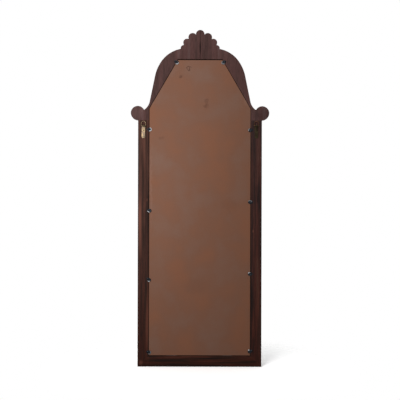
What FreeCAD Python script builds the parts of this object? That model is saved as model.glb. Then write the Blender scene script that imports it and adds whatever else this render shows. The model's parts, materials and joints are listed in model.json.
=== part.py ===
import FreeCAD
import Part
import math
import os
import Sketcher

# A carved wood wall mirror, about 1.68 m tall: two stiles, a mitred bottom rail and two arched shoulders
# with ears and a half shell each. A clipped-corner pane stack sits in the rabbet behind them, held by
# turn clips, and two strap hangers with D-rings carry it. Millimetres and degrees. +Z is up, the carved
# front faces -Y, and left means -X. Heights are modelled from the bottom edge, and each piece is then
# placed so that the origin is midway between the two rings' hook points, in the plane of the back.

SIZES = {
    # Frame boards
    "frame_width": 618.0,
    "frame_thickness": 32.0,
    "stile_length": 1230.0,
    "member_width": 68.0,
    "rabbet_width": 13.5,
    "rabbet_depth": 12.0,
    # Pane stack, with its heights above the seam at the top of the stiles
    "pane_gap": 2.5,
    "pane_top_slack": 2.5,
    "pane_top_width": 222.0,
    "pane_top_rise": 300.0,
    "pane_shoulder_rise": 58.0,
    "glass_thickness": 5.0,
    "cushion_thickness": 2.0,
    "block_length": 50.0,
    "block_recess": 1.5,
    "block_place_share": 0.55,
    # Outline of a shoulder
    "crown_radius": 151.0,
    "crown_centre_inset": 239.4,
    "crown_centre_rise": 208.0,
    "haunch_radius": 200.0,
    "haunch_angle": 35.0,
    "side_lean": 11.6,
    "flare_radius": 65.0,
    "ear_radius": 35.0,
    "ear_offset": 1.5,
    "ear_rise": 36.0,
    "notch_angle": 153.0,
    # Scalloped shell crest
    "crest_half_width": 82.0,
    "crest_base_rise": 152.0,
    "crest_rise": 69.7,
    "lobe_radius": 21.3,
    # Arched sight edge
    "spring_share": 0.95,
    "sight_crown_share": 0.93,
    # Sight bead
    "bead_radius": 5.0,
    "bead_setback": 7.0,
    # Carved shell
    "shell_plate_thickness": 3.0,
    "shell_margin": 3.5,
    "shell_hub_clearance": 30.0,
    "rib_root_radius": 6.0,
    "rib_sink": 9.0,
    "hub_radius": 22.0,
    "hub_height": 13.0,
    # Rosettes
    "rosette_radius": 27.0,
    "corner_rosette_radius": 22.0,
    "rosette_plate_thickness": 3.0,
    "petal_height": 7.0,
    "boss_height": 10.0,
    # Leaves and husks
    "spray_start": 21.0,
    "leaf_gap": 1.0,
    "leaf_height": 8.0,
    "husk_length": 58.0,
    "husk_width": 29.0,
    "husk_height": 8.0,
    "husk_pitch": 76.0,
    "husk_top_drop": 52.0,
    "husk_end_gap": 8.0,
    "rail_boss_radius": 24.0,
    "rail_boss_height": 11.0,
    "rail_husk_start": 64.0,
    # Dowels and splines
    "dowel_diameter": 10.0,
    "dowel_length": 60.0,
    "dowel_clearance": 0.1,
    "crown_dowel_rise": 28.0,
    "crown_dowel_pitch": 50.0,
    "joint_vee_depth": 2.0,
    "spline_length": 44.0,
    "spline_width": 26.0,
    "spline_thickness": 4.0,
    # Turn clips
    "clip_width": 19.0,
    "clip_eye_reach": 8.5,
    "clip_thickness": 1.5,
    "clip_chamfer": 0.6,
    "clip_hole_diameter": 4.2,
    "clip_clearance": 0.2,
    "clip_setback": 6.5,
    "top_clip_drop": 13.0,
    # Wood screws
    "clip_screw_head_diameter": 7.6,
    "hanger_screw_head_diameter": 8.4,
    "screw_head_height": 2.3,
    "screw_head_rim": 0.6,
    "screw_shank_diameter": 3.6,
    "screw_length": 18.0,
    "screw_point": 4.0,
    "screw_recess_length": 4.4,
    "screw_recess_width": 0.9,
    "screw_recess_depth": 1.0,
    "pilot_clearance": 0.1,
    # Strap hangers
    "hanger_drop": 28.0,
    "strap_width": 17.5,
    "strap_length": 62.0,
    "strap_thickness": 1.8,
    "strap_hole_diameter": 4.6,
    "strap_upper_hole": 22.0,
    "strap_lower_hole": 54.0,
    "ring_wire": 3.5,
    "ring_side_gap": 0.75,
    "ring_leg": 8.5,
    "ring_corner_radius": 2.0,
    "ring_clearance": 0.2,
    # How far every cut runs past what it cuts
    "cut_overrun": 10.0,
}

# Lobes of one half of the crest, from the middle outwards: places over the crest's half width and rise,
# and radii over the largest lobe's.
LOBE_ACROSS_SHARES = (0.0, 0.46, 0.805, 1.0)
LOBE_UP_SHARES = (1.0, 0.78, 0.41, 0.0)
LOBE_RADIUS_SHARES = (1.0, 1.0, 0.87, 0.73)

# Turn clips up each stile, over the stile's length, and how far each nose is turned up in degrees.
CLIP_ROWS = ("bottom", "lower", "middle", "upper")
RIGHT_CLIP_SHARES = (0.060, 0.356, 0.634, 0.963)
LEFT_CLIP_SHARES = (0.065, 0.377, 0.668, 0.961)
RIGHT_CLIP_TILTS = (-20, -40, -13, -8)
LEFT_CLIP_TILTS = (-20, 0, 4, -8)

# Dowels across each stile seam, over the wood between the rabbet and the outer edge.
SEAM_DOWEL_SHARES = (0.28, 0.72)

# Leaves along the haunch: widths over the face that the bead leaves free there, and lengths over widths.
LEAF_WIDTH_SHARE = 0.47
LEAF_LENGTH_SHARE = 1.6

# Husks down each stile shrink evenly to this share of the first one.
LAST_HUSK_SHARE = 0.62
RAIL_HUSK_SHARE = 0.85

PETAL_COUNT = 8
PETAL_LENGTH_SHARE = 0.44
PETAL_WIDTH_SHARE = 0.27
PETAL_PLACE_SHARE = 0.54
BOSS_RADIUS_SHARE = 0.3
RIB_TIP_SHARE = 0.95

doc = FreeCAD.newDocument("CarvedMirror")
sheet = doc.addObject("Spreadsheet::Sheet", "Sizes")
for row, (alias, number) in enumerate(SIZES.items(), start=1):
    sheet.set(f"A{row}", alias)
    sheet.set(f"B{row}", str(number))
    sheet.setAlias(f"B{row}", alias)
doc.recompute()

SQUARE_TO_BACK = FreeCAD.Rotation(FreeCAD.Vector(1, 0, 0), 90)
ALONG_X = FreeCAD.Rotation(FreeCAD.Vector(0, 1, 0), 90)
ALONG_Z = FreeCAD.Rotation()
nodes = []


class Size:
    """A length, angle or share: the expression that gives it and its value now."""

    def __init__(self, text, value):
        self.text = text
        self.value = value

    def __add__(self, other):
        return combine(self, "+", other)

    def __sub__(self, other):
        return combine(self, "-", other)

    def __mul__(self, other):
        return combine(self, "*", other)

    def __truediv__(self, other):
        return combine(self, "/", other)

    def __rsub__(self, other):
        return combine(as_size(other), "-", self)

    def __neg__(self):
        return Size(f"(0 - {self.text})", -self.value)

    __radd__ = __add__
    __rmul__ = __mul__


def as_size(number):
    """Give a plain number the same form as a named size."""
    return number if isinstance(number, Size) else Size(str(number), float(number))


def combine(left, sign, right):
    """Join two sizes with one of the four signs of arithmetic."""
    right = as_size(right)
    results = {
        "+": lambda a, b: a + b,
        "-": lambda a, b: a - b,
        "*": lambda a, b: a * b,
        "/": lambda a, b: a / b,
    }
    return Size(f"({left.text} {sign} {right.text})", results[sign](left.value, right.value))


def cos(angle):
    return Size(f"cos({angle.text})", math.cos(math.radians(angle.value)))


def sin(angle):
    return Size(f"sin({angle.text})", math.sin(math.radians(angle.value)))


def tan(angle):
    return Size(f"tan({angle.text})", math.tan(math.radians(angle.value)))


def atan(ratio):
    return Size(f"atan({ratio.text})", math.degrees(math.atan(ratio.value)))


def sqrt(square):
    return Size(f"sqrt({square.text})", math.sqrt(square.value))


def size(alias):
    """The named size of the sheet."""
    return Size(f"Sizes.{alias}", SIZES[alias])


ZERO = as_size(0)
overrun = size("cut_overrun")
thickness = size("frame_thickness")
seam = size("stile_length")
half_width = size("frame_width") / 2

# The sight edge, the rabbet's wall and the pane's edge, from the middle of the frame
sight_half = half_width - size("member_width")
wall_half = sight_half + size("rabbet_width")
pane_half = wall_half - size("pane_gap")
wall_bottom = size("member_width") - size("rabbet_width")
pane_bottom = wall_bottom + size("pane_gap")
pane_shoulder = seam + size("pane_shoulder_rise")
pane_top = seam + size("pane_top_rise")
pane_top_half = size("pane_top_width") / 2
lip_cover = pane_half - sight_half
backing_thickness = size("rabbet_depth") - size("glass_thickness") - size("cushion_thickness")

# The pane's clipped corners lean this far from upright; half of each turn sets how corners move outwards
slope = atan((pane_half - pane_top_half) / (pane_top - pane_shoulder))
shoulder_turn = tan(slope / 2)
top_turn = (1 - shoulder_turn) / (1 + shoulder_turn)

# Hangers: the bar's middle, and the hook's place inside the top of the ring
wire_radius = size("ring_wire") / 2
loop_inner = wire_radius + size("ring_clearance")
loop_outer = loop_inner + size("strap_thickness")
ring_half = size("strap_width") / 2 + size("ring_side_gap") + wire_radius
bow_base = size("ring_corner_radius") + size("ring_leg")
bar_height = seam - size("hanger_drop")
hanger_across = (wall_half + half_width) / 2
hang_height = bar_height + bow_base + ring_half - wire_radius


def bind(item, path, length):
    """Tie one property of an object to the sheet."""
    item.setExpression(path, as_size(length).text)


def place(item, across=ZERO, back=ZERO, up=ZERO, turn=None):
    """Turn an object and tie its place to the sheet."""
    item.Placement = FreeCAD.Placement(FreeCAD.Vector(), turn or FreeCAD.Rotation())
    for path, length in (("x", across), ("y", back), ("z", up)):
        if length is not ZERO:
            bind(item, f"Placement.Base.{path}", length)
    return item


def keep(item, label, **where):
    """Hand a finished piece in under its name, lowered so that the hook points lie at height zero."""
    if where or not item.isDerivedFrom("Part::Mirroring"):
        where["up"] = where.get("up", ZERO) - hang_height
        place(item, **where)
    item.Label = label
    nodes.append(item)
    return item


def mirror(item, label):
    """The same piece on the other side of the middle."""
    copy = doc.addObject("Part::Mirroring", label)
    copy.Source = item
    copy.Normal = FreeCAD.Vector(1, 0, 0)
    return keep(copy, label)


def bulge(start, end, radius, side):
    """An arc from start to end whose centre lies left of the way (side 1) or right of it (side -1)."""
    chord = end - start
    middle = (start + end) * 0.5
    left = FreeCAD.Vector(-chord.y, chord.x, 0).normalize()
    rise = math.sqrt(max(radius ** 2 - (chord.Length / 2) ** 2, 0))
    centre = middle + left * (side * rise)
    first, last = (start, end) if side > 0 else (end, start)
    angles = [math.atan2(point.y - centre.y, point.x - centre.x) for point in (first, last)]
    return Part.ArcOfCircle(Part.Circle(centre, FreeCAD.Vector(0, 0, 1), radius), *angles)


def pin(sketch, edge, point, across, up):
    """Hold a point of a sketch at its place from the origin."""
    for kind, axis, length in (("DistanceX", -2, across), ("DistanceY", -1, up)):
        if length is ZERO:
            sketch.addConstraint(Sketcher.Constraint("PointOnObject", edge, point, axis))
        else:
            index = sketch.addConstraint(Sketcher.Constraint(kind, edge, point, length.value))
            bind(sketch, f"Constraints[{index}]", length)


def draw(sketch, corners, closed=True):
    """Draw an outline: corners are (x, y), or (x, y, radius, side) where an arc leaves the corner."""
    points = [FreeCAD.Vector(corner[0].value, corner[1].value, 0) for corner in corners]
    count = len(corners) if closed else len(corners) - 1
    ends = []
    for index in range(count):
        start, end = points[index], points[(index + 1) % len(points)]
        if len(corners[index]) == 2:
            edge = sketch.addGeometry(Part.LineSegment(start, end))
            ends.append((edge, 1, 2))
        else:
            radius, side = corners[index][2:]
            edge = sketch.addGeometry(bulge(start, end, radius.value, side))
            ends.append((edge, 1, 2) if side > 0 else (edge, 2, 1))
            number = sketch.addConstraint(Sketcher.Constraint("Radius", edge, radius.value))
            bind(sketch, f"Constraints[{number}]", radius)
    for index in range(count if closed else count - 1):
        edge, _, last = ends[index]
        following, first, _ = ends[(index + 1) % count]
        sketch.addConstraint(Sketcher.Constraint("Coincident", edge, last, following, first))
    for (edge, first, _), corner in zip(ends, corners):
        pin(sketch, edge, first, corner[0], corner[1])
    if not closed:
        pin(sketch, ends[-1][0], ends[-1][2], corners[-1][0], corners[-1][1])
    return sketch


def circle(sketch, radius, across=ZERO, up=ZERO):
    """Add a full circle to a sketch."""
    centre = FreeCAD.Vector(across.value, up.value, 0)
    edge = sketch.addGeometry(Part.Circle(centre, FreeCAD.Vector(0, 0, 1), radius.value))
    number = sketch.addConstraint(Sketcher.Constraint("Radius", edge, radius.value))
    bind(sketch, f"Constraints[{number}]", radius)
    pin(sketch, edge, 3, across, up)


def body_sketch(body, role, name, lift=None):
    """A sketch on one of a body's own origin planes, lifted along that plane's normal if asked."""
    plane = next(item for item in body.Origin.OriginFeatures if item.Role == role)
    sketch = body.newObject("Sketcher::SketchObject", f"{body.Name}_{name}")
    sketch.AttachmentSupport = [(plane, "")]
    sketch.MapMode = "FlatFace"
    if lift is not None:
        bind(sketch, "AttachmentOffset.Base.z", lift)
    return sketch


def feature(body, kind, profile, **lengths):
    """Add a padded, pocketed or turned feature to a body."""
    item = body.newObject(f"PartDesign::{kind}", f"{profile.Name}_{kind.lower()}")
    item.Profile = profile
    for path, length in lengths.items():
        bind(item, path, length)
    return item


def cut_feature(body, profile, depth, reverse):
    """Pocket a body and make sure that something came away."""
    doc.recompute()
    before = body.Shape.Volume
    pocket = feature(body, "Pocket", profile, Length=depth)
    pocket.Reversed = reverse
    doc.recompute()
    if body.Shape.Volume >= before:
        raise RuntimeError(f"{profile.Name} cut nothing")
    return pocket


def board_body(name, corners, depth):
    """A flat piece with the given outline, its back in the plane y = 0 and its depth towards the front."""
    body = doc.addObject("PartDesign::Body", name)
    feature(body, "Pad", draw(body_sketch(body, "XZ_Plane", "outline"), corners), Length=depth)
    return body


def prism(name, corners, front, back=ZERO):
    """A plain outline drawn on the back plane and extruded to the front, and backwards if asked."""
    sketch = draw(doc.addObject("Sketcher::SketchObject", f"{name}_outline"), corners)
    sketch.Placement = FreeCAD.Placement(FreeCAD.Vector(), SQUARE_TO_BACK)
    item = doc.addObject("Part::Extrusion", name)
    item.Base = sketch
    item.DirMode = "Normal"
    item.Solid = True
    bind(item, "LengthFwd", front)
    bind(item, "LengthRev", back)
    return item


def block(name, length, depth, height, across, back, up):
    """A box whose low corner is at the given place."""
    item = doc.addObject("Part::Box", name)
    bind(item, "Length", length)
    bind(item, "Width", depth)
    bind(item, "Height", height)
    return place(item, across, back, up)


def rod(name, radius, length, turn, across=ZERO, back=ZERO, up=ZERO):
    """A cylinder that starts at the given place."""
    item = doc.addObject("Part::Cylinder", name)
    bind(item, "Radius", radius)
    bind(item, "Height", length)
    return place(item, across, back, up, turn)


def dome(name, length, width, height, across, up, heading=0.0, back=None):
    """Half an ellipsoid standing out of the front face, its length turned to heading above level."""
    item = doc.addObject("Part::Ellipsoid", name)
    item.Angle1 = 0
    item.Angle2 = 90
    bind(item, "Radius1", height)
    bind(item, "Radius2", length / 2)
    bind(item, "Radius3", width / 2)
    turn = SQUARE_TO_BACK.multiply(FreeCAD.Rotation(FreeCAD.Vector(0, 0, 1), heading))
    return place(item, across, back or -thickness, up, turn)


def fuse(name, items):
    item = doc.addObject("Part::MultiFuse", name)
    item.Shapes = items
    return item


def gather(name, items):
    item = doc.addObject("Part::Compound", name)
    item.Links = items
    return item


def cut(name, base, tools):
    item = doc.addObject("Part::Cut", name)
    item.Base = base
    item.Tool = tools[0] if len(tools) == 1 else gather(f"{name}_tools", tools)
    return item


def common(name, first, second):
    item = doc.addObject("Part::Common", name)
    item.Base = first
    item.Tool = second
    return item


def pilot(name, across, up):
    """A pilot hole for one wood screw, bored from the back."""
    radius = size("screw_shank_diameter") / 2 + size("pilot_clearance")
    length = size("screw_length") + size("pilot_clearance") + overrun
    return rod(name, radius, length, SQUARE_TO_BACK, across, overrun, up)


# Where the clips sit

def stile_clips():
    """Name, place across and up, and heading of each clip on the stiles."""
    offset = pane_half + size("clip_setback")
    sides = (
        ("right", 1, RIGHT_CLIP_SHARES, RIGHT_CLIP_TILTS),
        ("left", -1, LEFT_CLIP_SHARES, LEFT_CLIP_TILTS),
    )
    for side, sign, shares, tilts in sides:
        for row_name, share, tilt in zip(CLIP_ROWS, shares, tilts):
            heading = 180 - tilt if sign > 0 else tilt
            yield f"{side}_{row_name}", sign * offset, seam * share, heading


def top_clips():
    """The same for the two clips on the clipped corners, near the top, square to those edges."""
    drop, setback = size("top_clip_drop"), size("clip_setback")
    across = pane_top_half + drop * sin(slope) + setback * cos(slope)
    up = pane_top - drop * cos(slope) + setback * sin(slope)
    yield "right_top", across, up, 180 + slope.value
    yield "left_top", -across, up, -slope.value


# Outlines shared by several pieces

def pane_outline():
    """The clipped-corner outline of the glass and what lies behind it."""
    right = [(pane_half, pane_bottom), (pane_half, pane_shoulder), (pane_top_half, pane_top)]
    return right + [(-across, up) for across, up in reversed(right)]


def sight_curve(outwards):
    """The arched sight edge from the seam to the middle, or a curve parallel to it, further out."""
    cover = lip_cover - outwards
    shoulder_up = pane_shoulder - cover * shoulder_turn
    corner, top = pane_top_half - cover * top_turn, pane_top - cover
    edge_shoulder = pane_shoulder - lip_cover * shoulder_turn
    spring_radius = (edge_shoulder - seam) * size("spring_share") / shoulder_turn + outwards
    edge_corner = pane_top_half - lip_cover * top_turn
    crown_radius = edge_corner * size("sight_crown_share") / top_turn + outwards
    spring_run, crown_run = spring_radius * shoulder_turn, crown_radius * top_turn
    across = pane_half - cover
    return [
        (across, seam),
        (across, shoulder_up - spring_run, spring_radius, 1),
        (across - spring_run * sin(slope), shoulder_up + spring_run * cos(slope)),
        (corner + crown_run * sin(slope), top - crown_run * cos(slope), crown_radius, 1),
        (corner - crown_run, top),
        (ZERO, top),
    ]


crown_across = half_width - size("crown_centre_inset")
crown_up = seam + size("crown_centre_rise")
ear_across = half_width + size("ear_offset")
ear_up = seam + size("ear_rise")
haunch_step = size("haunch_radius") - size("crown_radius")
haunch_across = crown_across - haunch_step * cos(size("haunch_angle"))
haunch_up = crown_up - haunch_step * sin(size("haunch_angle"))


def shoulder_outline():
    """From the seam round under the ear, up the flare, the leaning side and the arch to the middle."""
    lean, flare = size("side_lean"), size("flare_radius")
    notch_across = ear_across + size("ear_radius") * cos(size("notch_angle"))
    notch_up = ear_up + size("ear_radius") * sin(size("notch_angle"))
    side_across = haunch_across + size("haunch_radius") * cos(lean)
    side_up = haunch_up + size("haunch_radius") * sin(lean)
    # The notch seen from the top of the leaning side: out from that line, and down along it
    out = (notch_across - side_across) * cos(lean) + (notch_up - side_up) * sin(lean)
    down = (notch_across - side_across) * sin(lean) - (notch_up - side_up) * cos(lean)
    run = down - sqrt(out * (2 * flare - out))
    return [
        (ZERO, seam),
        (half_width, seam),
        (half_width, ear_up),
        (notch_across, notch_up, flare, -1),
        (side_across + run * sin(lean), side_up - run * cos(lean)),
        (side_across, side_up, size("haunch_radius"), 1),
        (
            crown_across + size("crown_radius") * cos(size("haunch_angle")),
            crown_up + size("crown_radius") * sin(size("haunch_angle")),
            size("crown_radius"),
            1,
        ),
        (crown_across, crown_up + size("crown_radius")),
        (ZERO, crown_up + size("crown_radius")),
    ]


def lobes():
    """Place across and up and radius of each lobe of the crest's right half, from the middle outwards."""
    base = crown_up + size("crest_base_rise")
    for across, up, radius in zip(LOBE_ACROSS_SHARES, LOBE_UP_SHARES, LOBE_RADIUS_SHARES):
        middle = size("crest_half_width") * across if across else ZERO
        yield middle, base + size("crest_rise") * up, size("lobe_radius") * radius


def crest_core(foot):
    """The polygon through the lobes' centres, down to the given height."""
    centres = [(across, up) for across, up, _ in lobes()]
    return [(ZERO, foot), (centres[-1][0], foot)] + centres[::-1]


# Joinery

dowel_radius = size("dowel_diameter") / 2
dowel_half = size("dowel_length") / 2
mid_depth = -thickness / 2


def seam_dowel(name, share, clearance=ZERO):
    """A dowel upright across the right seam, or the bore for it."""
    across = wall_half + (half_width - wall_half) * share
    foot = seam - dowel_half - clearance
    length = size("dowel_length") + clearance * 2
    return rod(name, dowel_radius + clearance, length, ALONG_Z, across, mid_depth, foot)


def crown_dowel(name, index, clearance=ZERO):
    """A level dowel across the joint in the middle of the crest, or the bore for it."""
    up = pane_top + size("crown_dowel_rise") + size("crown_dowel_pitch") * index
    length = size("dowel_length") + clearance * 2
    return rod(name, dowel_radius + clearance, length, ALONG_X, -dowel_half - clearance, mid_depth, up)


def mitre_spline(name, clearance=ZERO):
    """A flat spline across the right mitre, or the slot for it."""
    half_length = size("spline_length") / 2 + clearance
    half_cross = size("spline_width") / 2 + clearance
    depth = size("spline_thickness") + clearance * 2
    middle_across, middle_up = half_width - size("member_width") / 2, size("member_width") / 2
    diagonal = sqrt(as_size(0.5))
    along, out = half_length * diagonal, half_cross * diagonal
    corners = [
        (middle_across + along + out, middle_up - along + out),
        (middle_across - along + out, middle_up + along + out),
        (middle_across - along - out, middle_up + along - out),
        (middle_across + along - out, middle_up - along - out),
    ]
    item = prism(name, corners, depth)
    lip_middle = (thickness + size("rabbet_depth")) / 2
    return place(item, back=depth / 2 - lip_middle)


def joinery():
    """The hidden dowels and splines."""
    clearance = size("dowel_clearance")
    crown = [crown_dowel(f"crown_dowel_{index}", index) for index in range(2)]
    keep(gather("crown_dowels", crown), "crown_dowels")
    seam_right = [seam_dowel(f"seam_dowel_{i}", share) for i, share in enumerate(SEAM_DOWEL_SHARES)]
    seam_left = [mirrored(item) for item in seam_right]
    keep(gather("shoulder_dowels", seam_right + seam_left), "shoulder_dowels")
    spline = mitre_spline("mitre_spline_right")
    keep(gather("mitre_splines", [spline, mirrored(spline)]), "mitre_splines")
    return {
        "crown": [crown_dowel(f"crown_bore_{index}", index, clearance) for index in range(2)],
        "seam": [seam_dowel(f"seam_bore_{i}", share, clearance) for i, share in enumerate(SEAM_DOWEL_SHARES)],
        "mitre": mitre_spline("mitre_slot_right", clearance),
    }


def mirrored(item):
    """A helper object on the other side of the middle, not a node by itself."""
    copy = doc.addObject("Part::Mirroring", f"{item.Name}_mirrored")
    copy.Source = item
    copy.Normal = FreeCAD.Vector(1, 0, 0)
    return copy


# Frame boards

def stiles(bores):
    """Both stiles: one blank, mirrored, and bored for its own clips, hanger, dowels and spline."""
    corners = [
        (half_width, ZERO),
        (half_width, seam),
        (sight_half, seam),
        (sight_half, size("member_width")),
    ]
    blank = board_body("stile_blank", corners, thickness)
    rabbet = [
        (sight_half - overrun, ZERO),
        (wall_half, ZERO),
        (wall_half, seam + overrun),
        (sight_half - overrun, seam + overrun),
    ]
    cut_feature(blank, draw(body_sketch(blank, "XZ_Plane", "rabbet"), rabbet), size("rabbet_depth"), True)
    shared = bores["seam"] + [bores["mitre"]]
    for index, hole in enumerate(("strap_upper_hole", "strap_lower_hole")):
        shared.append(pilot(f"hanger_pilot_{index}", hanger_across, bar_height - size(hole)))
    clips = list(stile_clips())
    for side in ("right", "left"):
        tools = [pilot(f"pilot_{name}", across, up) for name, across, up, _ in clips if name.startswith(side)]
        if side == "right":
            keep(cut("stile_right", blank, shared + tools), "stile_right")
        else:
            others = [mirrored(item) for item in shared]
            keep(cut("stile_left", mirrored(blank), others + tools), "stile_left")


def bottom_rail(bores):
    """The rail between the mitres, rabbeted along its top."""
    corners = [
        (-half_width, ZERO),
        (half_width, ZERO),
        (sight_half, size("member_width")),
        (-sight_half, size("member_width")),
    ]
    blank = board_body("rail_blank", corners, thickness)
    top = size("member_width") + overrun
    rabbet = [(-half_width, wall_bottom), (half_width, wall_bottom), (half_width, top), (-half_width, top)]
    cut_feature(blank, draw(body_sketch(blank, "XZ_Plane", "rabbet"), rabbet), size("rabbet_depth"), True)
    slot = bores["mitre"]
    keep(cut("bottom_rail", blank, [slot, mirrored(slot)]), "bottom_rail")


def shoulders(bores):
    """The arched top in two halves, each with an ear and half of the scalloped shell."""
    pieces = [
        prism("shoulder_board", shoulder_outline(), thickness),
        rod("ear_disc", size("ear_radius"), thickness, SQUARE_TO_BACK, ear_across, ZERO, ear_up),
        prism("crest_core", crest_core(crown_up), thickness),
    ]
    for index, (across, up, radius) in enumerate(lobes()):
        pieces.append(rod(f"lobe_{index}", radius, thickness, SQUARE_TO_BACK, across, ZERO, up))
    gap, slack = size("pane_gap"), size("pane_top_slack")
    rabbet = [
        (ZERO, seam - overrun),
        (wall_half, seam - overrun),
        (wall_half, pane_shoulder + gap * shoulder_turn),
        (pane_top_half + gap * top_turn - slack * tan(slope), pane_top + gap + slack),
        (ZERO, pane_top + gap + slack),
    ]
    curve = sight_curve(ZERO)
    sight = [(ZERO, seam - overrun), (sight_half, seam - overrun)] + curve[1:]
    _, clip_across, clip_up, _ = next(top_clips())
    tools = [
        prism("arch_rabbet", rabbet, size("rabbet_depth"), overrun),
        prism("arch_sight", sight, thickness + overrun, overrun),
        block(
            "other_half",
            half_width,
            thickness + overrun * 2,
            hang_height * 2,
            -half_width,
            -thickness - overrun,
            ZERO,
        ),
        pilot("pilot_right_top", clip_across, clip_up),
    ]
    vee = size("joint_vee_depth")
    side = vee * sqrt(as_size(2))
    groove = block("joint_vee", side, side, hang_height * 2, ZERO, ZERO, ZERO)
    tools.append(place(groove, back=-vee, turn=FreeCAD.Rotation(FreeCAD.Vector(0, 0, 1), 45)))
    tools += bores["crown"] + bores["seam"]
    right = keep(cut("shoulder_right", fuse("shoulder_blank", pieces), tools), "shoulder_right")
    mirror(right, "shoulder_left")


# Front carving

def sight_beads():
    """A half-round bead round the sight edge: up each stile, along the rail and over both arches."""
    radius, setback = size("bead_radius"), size("bead_setback")
    reach = size("member_width") * 2
    front = thickness + radius + overrun

    def half_round(across, level):
        """The bead's section: flat on the front face, round towards -Y."""
        return [
            (across - radius, level, radius, 1),
            (across, level - radius, radius, 1),
            (across + radius, level),
        ]

    below = prism(
        "below_mitre",
        [(half_width, ZERO), (half_width - reach, reach), (half_width - reach, ZERO)],
        front,
    )
    above = prism(
        "above_mitre",
        [(half_width, ZERO), (half_width, reach), (half_width - reach, reach)],
        front,
    )
    stile = doc.addObject("PartDesign::Body", "stile_bead")
    section = draw(body_sketch(stile, "XY_Plane", "section"), half_round(sight_half + setback, -thickness))
    feature(stile, "Pad", section, Length=seam)
    mirror(keep(cut("sight_bead_right", stile, [below]), "sight_bead_right"), "sight_bead_left")

    rail = doc.addObject("PartDesign::Body", "rail_bead")
    bead_up = size("member_width") - setback
    corners = [
        (-thickness, bead_up + radius, radius, 1),
        (-thickness - radius, bead_up, radius, 1),
        (-thickness, bead_up - radius),
    ]
    pad = feature(rail, "Pad", draw(body_sketch(rail, "YZ_Plane", "section"), corners), Length=half_width * 2)
    pad.SideType = "Symmetric"
    keep(cut("sight_bead_bottom", rail, [above, mirrored(above)]), "sight_bead_bottom")

    arch = doc.addObject("PartDesign::Body", "sight_bead_arch_right")
    path = draw(body_sketch(arch, "XZ_Plane", "path"), sight_curve(setback), closed=False)
    lifted = body_sketch(arch, "XY_Plane", "section", seam)
    section = draw(lifted, half_round(sight_half + setback, ZERO))
    bind(path, "AttachmentOffset.Base.z", thickness)
    bind(section, "AttachmentOffset.Base.y", -thickness)
    doc.recompute()
    pipe = feature(arch, "AdditivePipe", section)
    pipe.Spine = (path, [f"Edge{number}" for number in range(1, path.GeometryCount + 1)])
    mirror(keep(arch, "sight_bead_arch_right"), "sight_bead_arch_left")


def shell_carving():
    """The fluted shell on the crest: a thin plate, one rib to each lobe and a hub at the bottom."""
    hub_up = pane_top + size("shell_hub_clearance")
    margin, plate = size("shell_margin"), size("shell_plate_thickness")
    axis_depth = size("rib_sink") - thickness
    centres = list(lobes())
    plates = [prism("shell_core", crest_core(hub_up), plate)]
    ribs = []
    for index, (across, up, radius) in enumerate(centres):
        plates.append(rod(f"shell_lobe_{index}", radius - margin, plate, SQUARE_TO_BACK, across, ZERO, up))
        run = sqrt(across * across + (up - hub_up) * (up - hub_up))
        tip = (radius - margin) * RIB_TIP_SHARE
        cone = doc.addObject("Part::Cone", f"rib_{index}")
        bind(cone, "Radius1", size("rib_root_radius"))
        bind(cone, "Radius2", tip)
        bind(cone, "Height", run)
        heading = math.degrees(math.atan2(across.value, (up - hub_up).value))
        place(cone, ZERO, axis_depth, hub_up, FreeCAD.Rotation(FreeCAD.Vector(0, 1, 0), heading))
        ball = doc.addObject("Part::Sphere", f"rib_end_{index}")
        bind(ball, "Radius", tip)
        place(ball, across, axis_depth, up)
        ribs += [cone, ball]
    half_plate = fuse("shell_half_plate", plates)
    place(half_plate, back=-thickness)
    half_ribs = fuse("shell_half_ribs", ribs)
    reach, foot = size("crest_half_width") + size("lobe_radius"), hub_up - size("hub_radius")
    height = centres[0][1] + size("lobe_radius") - foot
    front = block("shell_front", reach * 2, thickness, height, -reach, thickness * -2, foot)
    ribs_in_front = common("shell_ribs", half_ribs, front)
    hub = dome("shell_hub", size("hub_radius") * 2, size("hub_radius") * 2, size("hub_height"), ZERO, hub_up)
    halves = [half_plate, mirrored(half_plate), ribs_in_front, mirrored(ribs_in_front), hub]
    keep(fuse("shell_carving", halves), "shell_carving")


def rosette(label, radius, across, up):
    """A round patera: a thin disc with a ring of petals and a boss."""
    plate = size("rosette_plate_thickness")
    level = -thickness - plate / 2
    pieces = [rod(f"{label}_disc", radius, plate, SQUARE_TO_BACK, across, -thickness, up)]
    for index in range(PETAL_COUNT):
        turn = 360 * index / PETAL_COUNT
        ray = radius * PETAL_PLACE_SHARE
        pieces.append(
            dome(
                f"{label}_petal_{index}",
                radius * PETAL_LENGTH_SHARE * 2,
                radius * PETAL_WIDTH_SHARE * 2,
                size("petal_height"),
                across + ray * math.cos(math.radians(turn)),
                up + ray * math.sin(math.radians(turn)),
                turn,
                level,
            )
        )
    boss = radius * BOSS_RADIUS_SHARE * 2
    pieces.append(dome(f"{label}_boss", boss, boss, size("boss_height"), across, up, 0.0, level))
    right = keep(fuse(f"{label}_right", pieces), f"{label}_right")
    mirror(right, f"{label}_left")


def count_along(room, pitch):
    """How many pieces stand at one pitch, the first of them at the start of the room."""
    return int(room.value // pitch.value) + 1


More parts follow.
